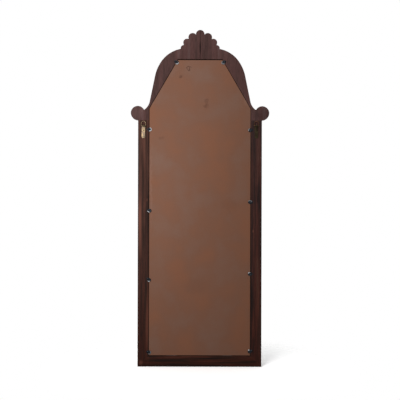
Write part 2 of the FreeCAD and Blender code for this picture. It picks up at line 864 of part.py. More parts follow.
def leaf_spray():
    """Leaves along the haunch, from beside the shell down, on the middle of the face that the bead leaves."""
    outer = size("haunch_radius")
    # The bead's outer edge along the clipped corner, square to it from the haunch's centre
    bead_line = (pane_half - haunch_across) * cos(slope) + (pane_shoulder - haunch_up) * sin(slope)
    bead_line += size("bead_setback") + size("bead_radius") - lip_cover
    length = (outer - bead_line) * LEAF_WIDTH_SHARE * LEAF_LENGTH_SHARE
    mean_ray = (outer + bead_line) / 2
    edge_lobe = list(lobes())[-1]
    start = edge_lobe[0] + edge_lobe[2] + size("spray_start") - haunch_across
    first = math.acos(start.value / mean_ray.value)
    count = count_along(mean_ray * first, length + size("leaf_gap"))
    leaves = []
    for index in range(count):
        angle = first * (1 - index / max(count - 1, 1))
        inner = bead_line / (cos(slope) * math.cos(angle) + sin(slope) * math.sin(angle))
        ray = (outer + inner) / 2
        width = (outer - inner) * LEAF_WIDTH_SHARE
        across, up = haunch_across + ray * math.cos(angle), haunch_up + ray * math.sin(angle)
        heading = math.degrees(angle) - 90
        height = size("leaf_height")
        leaves.append(dome(f"leaf_{index}", width * LEAF_LENGTH_SHARE, width, height, across, up, heading))
    mirror(keep(gather("leaf_spray_right", leaves), "leaf_spray_right"), "leaf_spray_left")


def husks():
    """Graduated husks down each stile, and along the rail on both sides of a boss, short of the rosettes."""
    across = half_width - (size("member_width") - size("bead_setback") - size("bead_radius")) / 2
    rail_up = half_width - across
    rosette_reach = size("corner_rosette_radius") + size("husk_end_gap")
    pitch, height = size("husk_pitch"), size("husk_height")
    top = seam - size("husk_top_drop")
    last_half = size("husk_length") * LAST_HUSK_SHARE / 2
    count = count_along(top - rail_up - rosette_reach - last_half, pitch)
    drop = []
    for index in range(count):
        share = 1 - (1 - LAST_HUSK_SHARE) * index / max(count - 1, 1)
        length, width = size("husk_length") * share, size("husk_width") * share
        drop.append(dome(f"husk_{index}", length, width, height, across, top - pitch * index, 90.0))
    mirror(keep(gather("husk_drop_right", drop), "husk_drop_right"), "husk_drop_left")

    length, width = size("husk_length") * RAIL_HUSK_SHARE, size("husk_width") * RAIL_HUSK_SHARE
    start = size("rail_husk_start")
    side = []
    for index in range(count_along(across - rosette_reach - length / 2 - start, pitch)):
        side.append(dome(f"rail_husk_{index}", length, width, height, start + pitch * index, rail_up))
    boss = size("rail_boss_radius") * 2
    middle = dome("rail_boss", boss, boss, size("rail_boss_height"), ZERO, rail_up)
    keep(gather("rail_carving", [middle] + side + [mirrored(item) for item in side]), "rail_carving")
    rosette("corner_rosette", size("corner_rosette_radius"), across, rail_up)


# Pane stack

def pane_stack():
    """Mirror glass, cushion sheet and backing board, flush with the back, on two setting blocks."""
    outline = pane_outline()
    layers = (
        ("mirror_glass", size("glass_thickness"), backing_thickness + size("cushion_thickness")),
        ("cushion_sheet", size("cushion_thickness"), backing_thickness),
        ("backing_board", backing_thickness, ZERO),
    )
    for label, depth, behind in layers:
        keep(board_body(label, outline, depth), label, back=ZERO if behind is ZERO else -behind)
    middle = pane_half * size("block_place_share")
    right = block(
        "setting_block",
        size("block_length"),
        size("rabbet_depth") - size("block_recess"),
        size("pane_gap"),
        middle - size("block_length") / 2,
        -size("rabbet_depth"),
        wall_bottom,
    )
    keep(gather("setting_blocks", [right, mirrored(right)]), "setting_blocks")


# Hardware

def screw(name, head_diameter):
    """A pan-head wood screw along Y, its head's underside at y = 0 and its point towards the front."""
    body = doc.addObject("PartDesign::Body", name)
    head, shank = head_diameter / 2, size("screw_shank_diameter") / 2
    height, rim = size("screw_head_height"), size("screw_head_rim")
    crown = height - rim
    dome_radius = (head * head + crown * crown) / (crown * 2)
    profile = [
        (ZERO, -size("screw_length")),
        (shank, size("screw_point") - size("screw_length")),
        (shank, ZERO),
        (head, ZERO),
        (head, rim, dome_radius, 1),
        (ZERO, height),
    ]
    sketch = draw(body_sketch(body, "XY_Plane", "profile"), profile)
    turned = feature(body, "Revolution", sketch)
    turned.ReferenceAxis = (sketch, ["V_Axis"])
    turned.Angle = 360
    long, narrow = size("screw_recess_length") / 2, size("screw_recess_width") / 2
    quarter = [(long, narrow), (narrow, narrow), (narrow, long)]
    cross = quarter + [(-across, up) for across, up in reversed(quarter)]
    cross += [(-across, -up) for across, up in quarter]
    cross += [(across, -up) for across, up in reversed(quarter)]
    recess = draw(body_sketch(body, "XZ_Plane", "recess", size("screw_recess_depth") - height), cross)
    cut_feature(body, recess, overrun, False)
    return body


def copies(label, master, places):
    """One node of identical screws."""
    items = []
    for index, (across, back, up) in enumerate(places):
        link = doc.addObject("App::Link", f"{label}_{index}")
        link.LinkedObject = master
        items.append(place(link, across, back, up))
    keep(gather(label, items), label)


def turn_clip(label, across, up, heading):
    """A flat clip: a wide round nose over the pane's edge, and an eye that clears it when turned away."""
    body = doc.addObject("PartDesign::Body", label)
    nose, reach = size("clip_width") / 2, size("clip_eye_reach")
    eye = size("clip_setback") - size("clip_clearance")
    flare = (nose - eye) / reach
    level = sqrt(1 - flare * flare)
    corners = [
        (-eye * flare, -eye * level),
        (reach - nose * flare, -nose * level, nose, 1),
        (reach + nose, ZERO, nose, 1),
        (reach - nose * flare, nose * level),
        (-eye * flare, eye * level, eye, 1),
        (-eye, ZERO, eye, 1),
    ]
    sketch = draw(body_sketch(body, "XZ_Plane", "outline"), corners)
    circle(sketch, size("clip_hole_diameter") / 2)
    pad = feature(body, "Pad", sketch, Length=size("clip_thickness"))
    pad.Reversed = True
    doc.recompute()
    outer = max(enumerate(pad.Shape.Faces, start=1), key=lambda item: item[1].CenterOfMass.y)
    chamfer = body.newObject("PartDesign::Chamfer", f"{label}_edge")
    chamfer.Base = (pad, [f"Face{outer[0]}"])
    bind(chamfer, "Size", size("clip_chamfer"))
    turn = FreeCAD.Rotation(FreeCAD.Vector(0, 1, 0), -heading)
    keep(body, label, across=across, back=size("clip_clearance"), up=up, turn=turn)


def clips():
    """All turn clips and the screws that hold them."""
    every = list(stile_clips()) + list(top_clips())
    for name, across, up, heading in every:
        turn_clip(f"clip_{name}", across, up, heading)
    head_level = size("clip_thickness") + size("clip_clearance") * 2
    master = screw("clip_screw", size("clip_screw_head_diameter"))
    copies("clip_screws", master, [(across, head_level, up) for _, across, up, _ in every])


def hangers():
    """Strap hangers: a strap rolled round the bar of a D-ring, with two screws each."""
    width, length, depth = size("strap_width") / 2, size("strap_length"), size("strap_thickness")
    holes = (size("strap_upper_hole"), size("strap_lower_hole"))
    strap = doc.addObject("PartDesign::Body", "hanger_strap_right")
    corners = [
        (-width, ZERO),
        (-width, width - length, width, 1),
        (ZERO, -length, width, 1),
        (width, width - length),
        (width, ZERO),
    ]
    plate = draw(body_sketch(strap, "XZ_Plane", "plate"), corners)
    for hole in holes:
        circle(plate, size("strap_hole_diameter") / 2, ZERO, -hole)
    pad = feature(strap, "Pad", plate, Length=depth)
    pad.Reversed = True
    roll = [
        (ZERO, ZERO, loop_outer, -1),
        (loop_outer, loop_outer, loop_outer, -1),
        (loop_outer * 2, ZERO, loop_outer, -1),
        (loop_outer, -loop_outer),
        (loop_outer, -loop_inner, loop_inner, 1),
        (loop_outer + loop_inner, ZERO, loop_inner, 1),
        (loop_outer, loop_inner, loop_inner, 1),
        (depth, ZERO),
    ]
    loop = draw(body_sketch(strap, "YZ_Plane", "roll"), roll)
    rolled = feature(strap, "Pad", loop, Length=size("strap_width"))
    rolled.SideType = "Symmetric"
    keep(strap, "hanger_strap_right", across=hanger_across, up=bar_height)
    mirror(strap, "hanger_strap_left")

    ring = doc.addObject("PartDesign::Body", "hanger_ring_right")
    bend = size("ring_corner_radius")
    wire = [
        (bend - ring_half, ZERO),
        (ring_half - bend, ZERO, bend, 1),
        (ring_half, bend),
        (ring_half, bow_base, ring_half, 1),
        (ZERO, bow_base + ring_half, ring_half, 1),
        (-ring_half, bow_base),
        (-ring_half, bend, bend, 1),
    ]
    path = draw(body_sketch(ring, "XZ_Plane", "path"), wire)
    section = body_sketch(ring, "YZ_Plane", "section")
    circle(section, wire_radius)
    doc.recompute()
    pipe = feature(ring, "AdditivePipe", section)
    pipe.Spine = (path, [f"Edge{number}" for number in range(1, path.GeometryCount + 1)])
    keep(ring, "hanger_ring_right", across=hanger_across, back=loop_outer, up=bar_height)
    mirror(ring, "hanger_ring_left")

    master = screw("hanger_screw", size("hanger_screw_head_diameter"))
    places = [(sign * hanger_across, depth, bar_height - hole) for sign in (1, -1) for hole in holes]
    copies("hanger_screws", master, places)


def write_steps():
    """Check the whole document, then write each piece to its own file."""
    doc.recompute()
    failed = [item.Name for item in doc.Objects if {"Invalid", "Error"} & set(item.State)]
    bad = [item.Label for item in nodes if item.Shape.isNull() or not item.Shape.isValid()]
    if failed or bad:
        raise RuntimeError(f"failed objects {failed}, bad shapes {bad}")
    os.makedirs("parts", exist_ok=True)
    for item in nodes:
        item.Shape.exportStep(f"parts/{item.Label}.step")


bores = joinery()
stiles(bores)
bottom_rail(bores)
shoulders(bores)
sight_beads()
shell_carving()
rosette("rosette", size("rosette_radius"), ear_across, ear_up)
leaf_spray()
husks()
pane_stack()
clips()
hangers()
write_steps()
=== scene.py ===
"""Looks of the carved wood mirror: eased boards, carved front, hardware, finishes, studio light and camera.

Everything is in metres in the frame of the solid model: +Z up, the carved front towards -Y, the back
towards +Y. Names that end in _mm, the spots and the shell's drops are in millimetres.
"""

from __future__ import annotations

import json
import logging
import math
from collections.abc import Callable, Iterable, Iterator
from contextlib import contextmanager
from dataclasses import dataclass
from enum import Enum
from functools import partial

import bmesh
import bpy
from bmesh.types import BMEdge
from bpy.types import Material, Node, NodeSocket, NodeTree, Object
from mathutils import Matrix, Vector

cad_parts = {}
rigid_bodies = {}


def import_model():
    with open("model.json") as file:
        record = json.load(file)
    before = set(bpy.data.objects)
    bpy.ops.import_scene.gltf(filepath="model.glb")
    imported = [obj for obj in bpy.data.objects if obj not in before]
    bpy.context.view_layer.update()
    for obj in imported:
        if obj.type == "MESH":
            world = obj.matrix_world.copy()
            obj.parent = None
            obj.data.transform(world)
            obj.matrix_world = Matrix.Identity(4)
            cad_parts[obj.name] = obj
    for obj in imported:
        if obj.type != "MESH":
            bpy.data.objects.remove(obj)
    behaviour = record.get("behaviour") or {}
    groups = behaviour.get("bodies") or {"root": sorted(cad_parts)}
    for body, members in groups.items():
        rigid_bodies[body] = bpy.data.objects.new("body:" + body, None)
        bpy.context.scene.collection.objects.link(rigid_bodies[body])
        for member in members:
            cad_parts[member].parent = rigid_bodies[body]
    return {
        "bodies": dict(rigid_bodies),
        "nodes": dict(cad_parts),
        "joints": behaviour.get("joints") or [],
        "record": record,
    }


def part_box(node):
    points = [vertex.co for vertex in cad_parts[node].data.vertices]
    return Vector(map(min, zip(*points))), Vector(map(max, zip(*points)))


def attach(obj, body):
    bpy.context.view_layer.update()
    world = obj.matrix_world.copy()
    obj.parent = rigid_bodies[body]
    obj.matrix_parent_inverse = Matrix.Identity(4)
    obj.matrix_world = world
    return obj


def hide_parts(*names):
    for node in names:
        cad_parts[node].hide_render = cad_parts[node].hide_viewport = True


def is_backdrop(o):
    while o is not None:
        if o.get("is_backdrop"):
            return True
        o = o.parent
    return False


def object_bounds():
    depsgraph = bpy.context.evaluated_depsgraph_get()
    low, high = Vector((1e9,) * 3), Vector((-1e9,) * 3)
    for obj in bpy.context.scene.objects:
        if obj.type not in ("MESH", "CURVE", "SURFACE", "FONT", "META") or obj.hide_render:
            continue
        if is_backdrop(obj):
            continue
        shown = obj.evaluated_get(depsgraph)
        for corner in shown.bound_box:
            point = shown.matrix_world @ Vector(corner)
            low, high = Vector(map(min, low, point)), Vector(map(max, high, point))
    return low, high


LOG = logging.getLogger("carved_mirror")
MM = 0.001
TOUCH = 0.01 * MM
# Two faces that meet at more than this, in degrees, have a sharp edge between them.
SHARP_ANGLE = 30.0
# Faces of a solid that meet at less than this, in degrees, are one flat face.
FLAT_ANGLE = 0.3
# The least part of a unit normal along an axis that counts as facing that way.
FACING = 0.9
# Carvings are shaded smooth over edges that turn by less than this, in degrees.
CARVED_ANGLE = 50.0
Colour = tuple[float, float, float, float]
Maker = Callable[..., Node]
Relief = Callable[[float, float], Vector]


def linear(hex_colour: str) -> Colour:
    """Turn an sRGB hex colour into linear RGBA."""
    channels = [int(hex_colour[start:start + 2], 16) / 255 for start in (1, 3, 5)]
    return *(c / 12.92 if c <= 0.04045 else ((c + 0.055) / 1.055) ** 2.4 for c in channels), 1.0


def feed(node: Node, inputs: dict) -> None:
    """Set or link inputs of a node.

    Args:
        node: The node.
        inputs: Values, sockets, or whole nodes for their first output, by the input's name or number.
    """
    for key, value in inputs.items():
        if isinstance(value, Node):
            value = next(socket for socket in value.outputs if socket.enabled)
        if isinstance(value, NodeSocket):
            node.id_data.links.new(value, node.inputs[key])
        else:
            node.inputs[key].default_value = value


def add_node(
    tree: NodeTree,
    kind: str,
    inputs: dict | tuple = (),
    stops: Iterable[tuple[float, str]] = (),
    **settings: object,
) -> Node:
    """Add one node to a tree.

    A MapRange takes in order the value, the low and high it comes from and the low and high it goes to. A Mix
    takes its share at 0 and its two colours at 6 and 7.

    Args:
        tree: The tree that gets the node.
        kind: The node's type, without the word ShaderNode.
        inputs: What feeds its inputs, in order or by name or number.
        stops: Places and hex colours of a colour ramp.
        settings: Properties of the node itself.

    Returns:
        The new node.
    """
    node = tree.nodes.new(f"ShaderNode{kind}")
    for name, value in settings.items():
        setattr(node, name, value)
    feed(node, inputs if isinstance(inputs, dict) else dict(enumerate(inputs)))
    for index, (place, colour) in enumerate(stops):
        elements = node.color_ramp.elements
        element = elements[index] if index < len(elements) else elements.new(place)
        element.position = place
        element.color = linear(colour)
    return node


class Grain(Enum):
    """Which way a board's fibres run, as the stretch of its pattern along X, Y and Z."""

    UPRIGHT = (1.0, 1.0, 0.045)
    LEVEL = (0.045, 1.0, 1.0)


@dataclass(frozen=True)
class Spot:
    """On the back, a stain, scuff or spot of painted light or shade in mm: middle, half width, half height,
    strength, hollow share.
    """

    x: float
    z: float
    half_x: float
    half_z: float
    strength: float
    hollow: float = 0.0
    core: float = 0.2

    def mask(self, node: Maker, place: NodeSocket | Node) -> Node:
        """Draw the spot as a soft mask.

        Args:
            node: Adds a node to the material.
            place: Object coordinates, roughened if the spot's rim is ragged.

        Returns:
            The node that gives the mask, from 0 to the spot's strength.
        """
        scale = (1 / (self.half_x * MM), 0.0, 1 / (self.half_z * MM))
        middle = (-self.x / self.half_x, 0.0, -self.z / self.half_z)
        inner = node("Mapping", {"Vector": place, "Location": middle, "Scale": scale})
        reach = node("VectorMath", (inner,), operation="LENGTH")
        rim = (reach, 1.0, self.core + self.hollow, 0.0, self.strength)
        fade = node("MapRange", rim, interpolation_type="SMOOTHSTEP")
        if not self.hollow:
            return fade
        hole = (reach, self.hollow - self.core, self.hollow + self.core)
        opening = node("MapRange", hole, interpolation_type="SMOOTHSTEP")
        return node("Math", (fade, opening), operation="MULTIPLY")


@dataclass(frozen=True)
class Finish:
    """A procedural material on object coordinates."""

    name: str

    def look(self, node: Maker, place: NodeSocket) -> dict:
        """Lay out the pattern.

        Args:
            node: Adds a node to the material.
            place: Object coordinates.

        Returns:
            What feeds the shader's inputs, by name.
        """
        raise NotImplementedError

    def make(self) -> Material:
        """Build the material.

        Returns:
            The material, its shader fed.
        """
        material = bpy.data.materials.new(self.name)
        material.use_nodes = True
        node = partial(add_node, material.node_tree)
        place = node("TexCoord").outputs["Object"]
        feed(material.node_tree.nodes["Principled BSDF"], self.look(node, place))
        return material


@dataclass(frozen=True)
class StainedWood(Finish):
    """Mahogany boards, sawn, brushed with a dark stain and dulled by age.

    The stain sinks unevenly, so near-black and reddish bands follow the grain over fine open pores. A painted
    sheen turns it greyer and lighter towards the top, and it stays dark and red near the floor. Edges that
    hands and walls have scuffed show redder wood, and painted shade with some dirt darkens the corners.
    """

    grain: Grain
    tones: tuple[str, str, str, str]
    # A painted sheen: the tone the wood turns to towards the top, its shares, and the heights it spans.
    sheen_tone: str = "#54403b"
    sheen_share: tuple[float, float] = (0.0, 0.0)
    sheen_heights: tuple[float, float] = (-1.2, 0.2)
    streaks: tuple[float, float] = (0.25, 1.75)
    # The colour of scuffed wood, also used for spots of painted sheen.
    worn_and_sheen: str = "#7a4a3b"
    pore: str = "#a39a94"
    # The colour of painted shade, with some dirt, in corners and recesses.
    dust_and_shade: str = "#0d0706"
    band_mm: float = 14.0
    contrast: float = 1.0
    fibre_mm: float = 1.8
    patch_mm: float = 35.0
    edge_mm: float = 5.0
    corner_mm: float = 14.0
    roughness: tuple[float, float] = (0.5, 0.72)
    gloss: float = 0.1
    rays: int = 6
    # Scuffed places and spots of painted sheen; dark marks, joints and spots of painted shade.
    wear_and_sheen_spots: tuple[Spot, ...] = ()
    dark_marks_and_shade: tuple[Spot, ...] = ()

    def look(self, node: Maker, place: NodeSocket) -> dict:
        """Lay out bands and pores, painted sheen by height, scuffed edges and places, painted shade and dirt.

        Args:
            node: Adds a node to the material.
            place: Object coordinates.

        Returns:
            What feeds the shader's inputs, by name.
        """
        along = node("Mapping", {"Vector": place, "Scale": self.grain.value})
        noise = {"Vector": along, "Detail": 3.0}
        band = {"Scale": 1 / (self.band_mm * MM), "Roughness": 0.55, "Distortion": 0.3}
        bands = node("TexNoise", noise | band)
        fibres = node("TexNoise", noise | {"Scale": 1 / (self.fibre_mm * MM), "Roughness": 0.65})
        shares = [0.5 + (share - 0.5) / self.contrast for share in (0.32, 0.45, 0.56, 0.7)]
        tone = node("ValToRGB", (bands,), zip(shares, self.tones))
        # Painted sheen: towards the top the tone turns greyer and lighter, and the grain's streaks are kept.
        height = node("SeparateXYZ", (place,)).outputs["Z"]
        sheen_mask = node("MapRange", (height, *self.sheen_heights, *self.sheen_share))
        sheened = node("Mix", {0: sheen_mask, 6: tone, 7: linear(self.sheen_tone)}, data_type="RGBA")
        streaks = node("MapRange", (bands, 0.36, 0.64, *self.streaks))
        sheened = node("Mix", {0: sheen_mask, 6: sheened, 7: streaks}, data_type="RGBA", blend_type="MULTIPLY")
        pores = node("ValToRGB", (fibres,), ((0.36, self.pore), (0.55, "#ffffff")))
        grained = node("Mix", {0: 0.7, 6: sheened, 7: pores}, data_type="RGBA", blend_type="MULTIPLY")
        patch = node("TexNoise", {"Vector": place, "Scale": 1 / (self.patch_mm * MM), "Detail": 5.0})
        near = {"Distance": self.edge_mm * MM}
        edge = node("AmbientOcclusion", near, inside=True, samples=self.rays, only_local=True).outputs["AO"]
        lightened = node("MapRange", (edge, 0.62, 0.2, 0.0, 0.7))
        wear_and_sheen = node("Math", (lightened, patch), operation="MULTIPLY")
        # Scuffed places and spots of painted sheen.
        for lighten in self.wear_and_sheen_spots:
            wear_and_sheen = node("Math", (wear_and_sheen, lighten.mask(node, place)), operation="ADD")
        broken = node("Math", (wear_and_sheen, bands), operation="MULTIPLY", use_clamp=True)
        board = node("Mix", {0: broken, 6: grained, 7: linear(self.worn_and_sheen)}, data_type="RGBA")
        # Painted shade with some dirt where corners and recesses close in, raised by the dark marks and spots
        # of painted shade.
        near = {"Distance": self.corner_mm * MM}
        corner = node("AmbientOcclusion", near, samples=self.rays).outputs["AO"]
        dark = node("MapRange", (corner, 0.25, 0.8, 0.7, 0.0))
        for dark_mark in self.dark_marks_and_shade:
            dark = node("Math", (dark, dark_mark.mask(node, place)), operation="MAXIMUM")
        smooth, rough = self.roughness
        return {
            "Base Color": node("Mix", {0: dark, 6: board, 7: linear(self.dust_and_shade)}, data_type="RGBA"),
            "Roughness": node("MapRange", (bands, 0.3, 0.7, rough, smooth)),
            "Normal": node("Bump", {"Strength": 0.35, "Distance": 0.4 * MM, "Height": fibres}),
            "Specular IOR Level": self.gloss,
        }


@dataclass(frozen=True)
class Hardboard(Finish):
    """Tempered hardboard, pressed smooth: warm brown, clouded by damp, flecked, stained and rubbed."""

    stains: tuple[Spot, ...]
    scuffs: tuple[Spot, ...]
    base: str = "#795442"
    warm: str = "#7f5540"
    grey: str = "#785849"
    stain: str = "#4f3226"
    scuff: str = "#8a685a"
    fleck: str = "#d8d0ca"
    cloud_mm: float = 160.0
    fleck_mm: float = 2.5
    ragged_mm: float = 28.0
    shift_mm: float = 14.0
    roughness: tuple[float, float] = (0.55, 0.7)
    gloss: float = 0.15

    def look(self, node: Maker, place: NodeSocket) -> dict:
        """Lay out clouds and flecks, then the stains and scuffs with ragged rims.

        Args:
            node: Adds a node to the material.
            place: Object coordinates.

        Returns:
            What feeds the shader's inputs, by name.
        """
        clouds = node("TexNoise", {"Vector": place, "Scale": 1 / (self.cloud_mm * MM), "Detail": 4.0})
        tone = node("ValToRGB", (clouds,), ((0.35, self.grey), (0.5, self.base), (0.66, self.warm)))
        fleck = {"Vector": place, "Scale": 1 / (self.fleck_mm * MM), "Detail": 3.0, "Roughness": 0.7}
        flecks = node("TexNoise", fleck)
        speckle = node("ValToRGB", (flecks,), ((0.33, self.fleck), (0.6, "#ffffff")))
        board = node("Mix", {0: 0.6, 6: tone, 7: speckle}, data_type="RGBA", blend_type="MULTIPLY")
        ragged = {"Vector": place, "Scale": 1 / (self.ragged_mm * MM), "Detail": 4.0}
        sway = node("TexNoise", ragged, normalize=False).outputs["Color"]
        shift = node("VectorMath", {0: sway, "Scale": self.shift_mm * MM}, operation="SCALE")
        shifted = node("VectorMath", (place, shift), operation="ADD")
        for spots, colour in ((self.stains, self.stain), (self.scuffs, self.scuff)):
            for spot in spots:
                mark = {0: spot.mask(node, shifted), 6: board, 7: linear(colour)}
                board = node("Mix", mark, data_type="RGBA")
        return {
            "Base Color": board,
            "Roughness": node("MapRange", (clouds, 0.3, 0.7, *self.roughness)),
            "Normal": node("Bump", {"Strength": 0.25, "Distance": 0.15 * MM, "Height": flecks}),
            "Specular IOR Level": self.gloss,
        }


@dataclass(frozen=True)
class AgedMetal(Finish):
    """Stamped or drawn metal: bright where it has been handled, dulled in patches, with fine scratches and
    spots of painted shade.
    """

    bright: str
    dull: str
    patch_mm: float
    roughness: tuple[float, float]
    scratch_mm: float = 0.6
    # The colour and the places of painted shade on the metal.
    shadow_tone: str = "#3a3324"
    tarnished: tuple[Spot, ...] = ()

    def look(self, node: Maker, place: NodeSocket) -> dict:
        """Lay out the dull patches, the spots of painted shade and the scratches.

        Args:
            node: Adds a node to the material.
            place: Object coordinates.

        Returns:
            What feeds the shader's inputs, by name.
        """
        patches = node("TexNoise", {"Vector": place, "Scale": 1 / (self.patch_mm * MM), "Detail": 5.0})
        tone = node("ValToRGB", (patches,), ((0.40, self.bright), (0.64, self.dull)))
        for spot in self.tarnished:
            mark = {0: spot.mask(node, place), 6: tone, 7: linear(self.shadow_tone)}
            tone = node("Mix", mark, data_type="RGBA")
        drawn = node("Mapping", {"Vector": place, "Scale": (1.0, 1.0, 0.12)})
        scratches = node("TexNoise", {"Vector": drawn, "Scale": 1 / (self.scratch_mm * MM), "Detail": 2.0})
        return {
            "Base Color": tone,
            "Roughness": node("MapRange", (patches, 0.35, 0.65, *self.roughness)),
            "Normal": node("Bump", {"Strength": 0.15, "Distance": 0.05 * MM, "Height": scratches}),
            "Metallic": 1.0,
        }


@dataclass(frozen=True)
class SilveredGlass(Finish):
    """Float glass, silvered behind: a clear mirror whose silvering has gone faintly cloudy in places."""

    silver: str = "#eef1ef"
    clouded: str = "#e2e5e2"
    cloud_mm: float = 120.0
    roughness: tuple[float, float] = (0.01, 0.05)

    def look(self, node: Maker, place: NodeSocket) -> dict:
        """Lay out the clouding.

        Args:
            node: Adds a node to the material.
            place: Object coordinates.

        Returns:
            What feeds the shader's inputs, by name.
        """
        bloom = node("TexNoise", {"Vector": place, "Scale": 1 / (self.cloud_mm * MM), "Detail": 6.0})
        return {
            "Base Color": node("ValToRGB", (bloom,), ((0.55, self.silver), (0.85, self.clouded))),
            "Roughness": node("MapRange", (bloom, 0.55, 0.85, *self.roughness)),
            "Metallic": 1.0,
        }


@dataclass(frozen=True)
class PlainStuff(Finish):
    """A dull filler material that clouds between two colours, such as foam, rubber or bare dowel wood."""

    light: str
    dark: str
    cloud_mm: float
    roughness: float
    stretch: tuple[float, float, float] = (1.0, 1.0, 1.0)

    def look(self, node: Maker, place: NodeSocket) -> dict:
        """Lay out the clouds.

        Args:
            node: Adds a node to the material.
            place: Object coordinates.

        Returns:
            What feeds the shader's inputs, by name.
        """
        drawn = node("Mapping", {"Vector": place, "Scale": self.stretch})
        clouds = node("TexNoise", {"Vector": drawn, "Scale": 1 / (self.cloud_mm * MM), "Detail": 4.0})
        return {
            "Base Color": node("ValToRGB", (clouds,), ((0.35, self.dark), (0.65, self.light))),
            "Normal": node("Bump", {"Strength": 0.4, "Distance": 0.2 * MM, "Height": clouds}),
            "Roughness": self.roughness,
        }


def activate(piece: Object) -> None:
    """Make one piece the only selected and active one.

    Args:
        piece: The piece.
    """
    bpy.ops.object.select_all(action="DESELECT")
    piece.select_set(True)
    bpy.context.view_layer.objects.active = piece


def added(kind: str, **settings: object) -> Object:
    """Add a primitive with nothing else selected.

    Args:
        kind: The primitive's name among the mesh operators.
        settings: Its sizes.

    Returns:
        The new piece.
    """
    bpy.ops.object.select_all(action="DESELECT")
    getattr(bpy.ops.mesh, f"primitive_{kind}_add")(**settings)
    return bpy.context.object


@contextmanager
def editing(piece: Object, mode: str, action: str = "DESELECT") -> Iterator[None]:
    """Open one piece in edit mode.

    Args:
        piece: The piece to edit.
        mode: VERT, EDGE or FACE.
        action: SELECT to begin with everything selected.

    Yields:
        Nothing, while the piece is open.
    """
    activate(piece)
    bpy.ops.object.mode_set(mode="EDIT")
    bpy.ops.mesh.select_mode(type=mode)
    bpy.ops.mesh.select_all(action=action)
    yield
    bpy.ops.object.mode_set(mode="OBJECT")


def pick(piece: Object, kind: str, test: Callable) -> int:
    """Select parts of the piece that is open in edit mode.

    Args:
        piece: The piece in edit mode.
        kind: verts, edges or faces.
        test: Says whether a part is selected.

    Returns:
        How many parts were selected.
    """
    shape = bmesh.from_edit_mesh(piece.data)
    chosen = [part for part in getattr(shape, kind) if test(part)]
    for part in chosen:
        part.select_set(True)
    bmesh.update_edit_mesh(piece.data)
    return len(chosen)


def bevel(piece: Object, test: Callable, offset: float, segments: int) -> None:
    """Bevel the edges of a piece that pass a test.

    Args:
        piece: The piece.
        test: Says whether an edge is bevelled.
        offset: The bevel's width.
        segments: Its steps.
    """
    with editing(piece, "EDGE"):
        if pick(piece, "edges", test):
            bpy.ops.mesh.bevel(offset=offset, segments=segments, affect="EDGES", clamp_overlap=False)


def is_sharp(edge: BMEdge) -> bool:
    """True for an edge with a sharp turn between its two faces."""
    return edge.is_manifold and edge.calc_face_angle(0.0) > math.radians(SHARP_ANGLE)


def is_sharp_at(edge: BMEdge, level: float) -> bool:
    """True for a sharp edge in the plane where y is the level."""
    return all(abs(v.co.y - level) < TOUCH for v in edge.verts) and is_sharp(edge)


def borrowed(source: Object, name: str) -> Object:
    """Copy a solid of the model as a piece of its own, merged and with flat faces freed of their triangles.

    Args:
        source: The solid's object.
        name: The new piece's name.

    Returns:
        The new piece.
    """
    piece = bpy.data.objects.new(name, source.data.copy())
    piece.data.materials.clear()
    bpy.context.scene.collection.objects.link(piece)
    activate(piece)
    bpy.ops.mesh.customdata_custom_splitnormals_clear()
    with editing(piece, "VERT", "SELECT"):
        bpy.ops.mesh.remove_doubles(threshold=TOUCH)
        bpy.ops.mesh.dissolve_limited(angle_limit=math.radians(FLAT_ANGLE))
    return piece


def carved(name: str, grid: tuple[int, int], shape: Relief, foot: float | None = None) -> Object:
    """Carve a closed relief out of a grid.

    Args:
        name: The piece's name.
        grid: Divisions along u and v.
        shape: Gives the place of a point (u, v) of the unit square.
        foot: The level that the rim runs straight back to. Without one, only open ends are closed.

    Returns:
        The relief, with doubled points merged and its faces outwards.
    """
    piece = added("grid", x_subdivisions=grid[0], y_subdivisions=grid[1], size=1.0)
    piece.name = name
    for vertex in piece.data.vertices:
        vertex.co = shape(vertex.co.x + 0.5, vertex.co.y + 0.5)
    with editing(piece, "VERT", "SELECT"):
        bpy.ops.mesh.remove_doubles(threshold=TOUCH)
    with editing(piece, "EDGE"):
        if foot is not None:
            pick(piece, "edges", lambda edge: edge.is_boundary)
            bpy.ops.mesh.extrude_edges_move()
            bpy.ops.transform.resize(value=(1, 0, 1), center_override=(0, foot, 0))
            bpy.ops.mesh.edge_face_add()
        bpy.ops.mesh.select_all(action="SELECT")
        if foot is None:
            bpy.ops.mesh.fill_holes(sides=0)
        bpy.ops.mesh.normals_make_consistent(inside=False)
    return piece


def copied(master: Object, name: str, place: Matrix) -> Object:
    """Copy a modelled piece with a mesh of its own, and turn it the right way out if it is mirrored.

    Args:
        master: The piece that was modelled once.
        name: The copy's name.
        place: Where the copy goes.

    Returns:
        The copy, its place in its mesh.
    """
    piece = bpy.data.objects.new(name, master.data.copy())
    bpy.context.scene.collection.objects.link(piece)
    piece.data.transform(place)
    if place.determinant() < 0:
        piece.data.flip_normals()
    return piece


def joined(pieces: list[Object], name: str) -> Object:
    """Join several pieces into one under a name.

    Args:
        pieces: The pieces.
        name: The name.

    Returns:
        The first piece, which holds them all.
    """
    activate(pieces[0])
    for piece in pieces:
        piece.select_set(True)
    bpy.ops.object.join()
    pieces[0].name = name
    return pieces[0]


def hollowed(piece: Object, tool: Object) -> None:
    """Cut one solid out of another and throw the tool away.

    Args:
        piece: The solid that is cut.
        tool: What is cut out of it.
    """
    activate(piece)
    modifier = piece.modifiers.new("hollow", "BOOLEAN")
    modifier.operation = "DIFFERENCE"
    modifier.solver = "EXACT"
    modifier.object = tool
    bpy.ops.object.modifier_apply(modifier=modifier.name)
    bpy.data.objects.remove(tool)


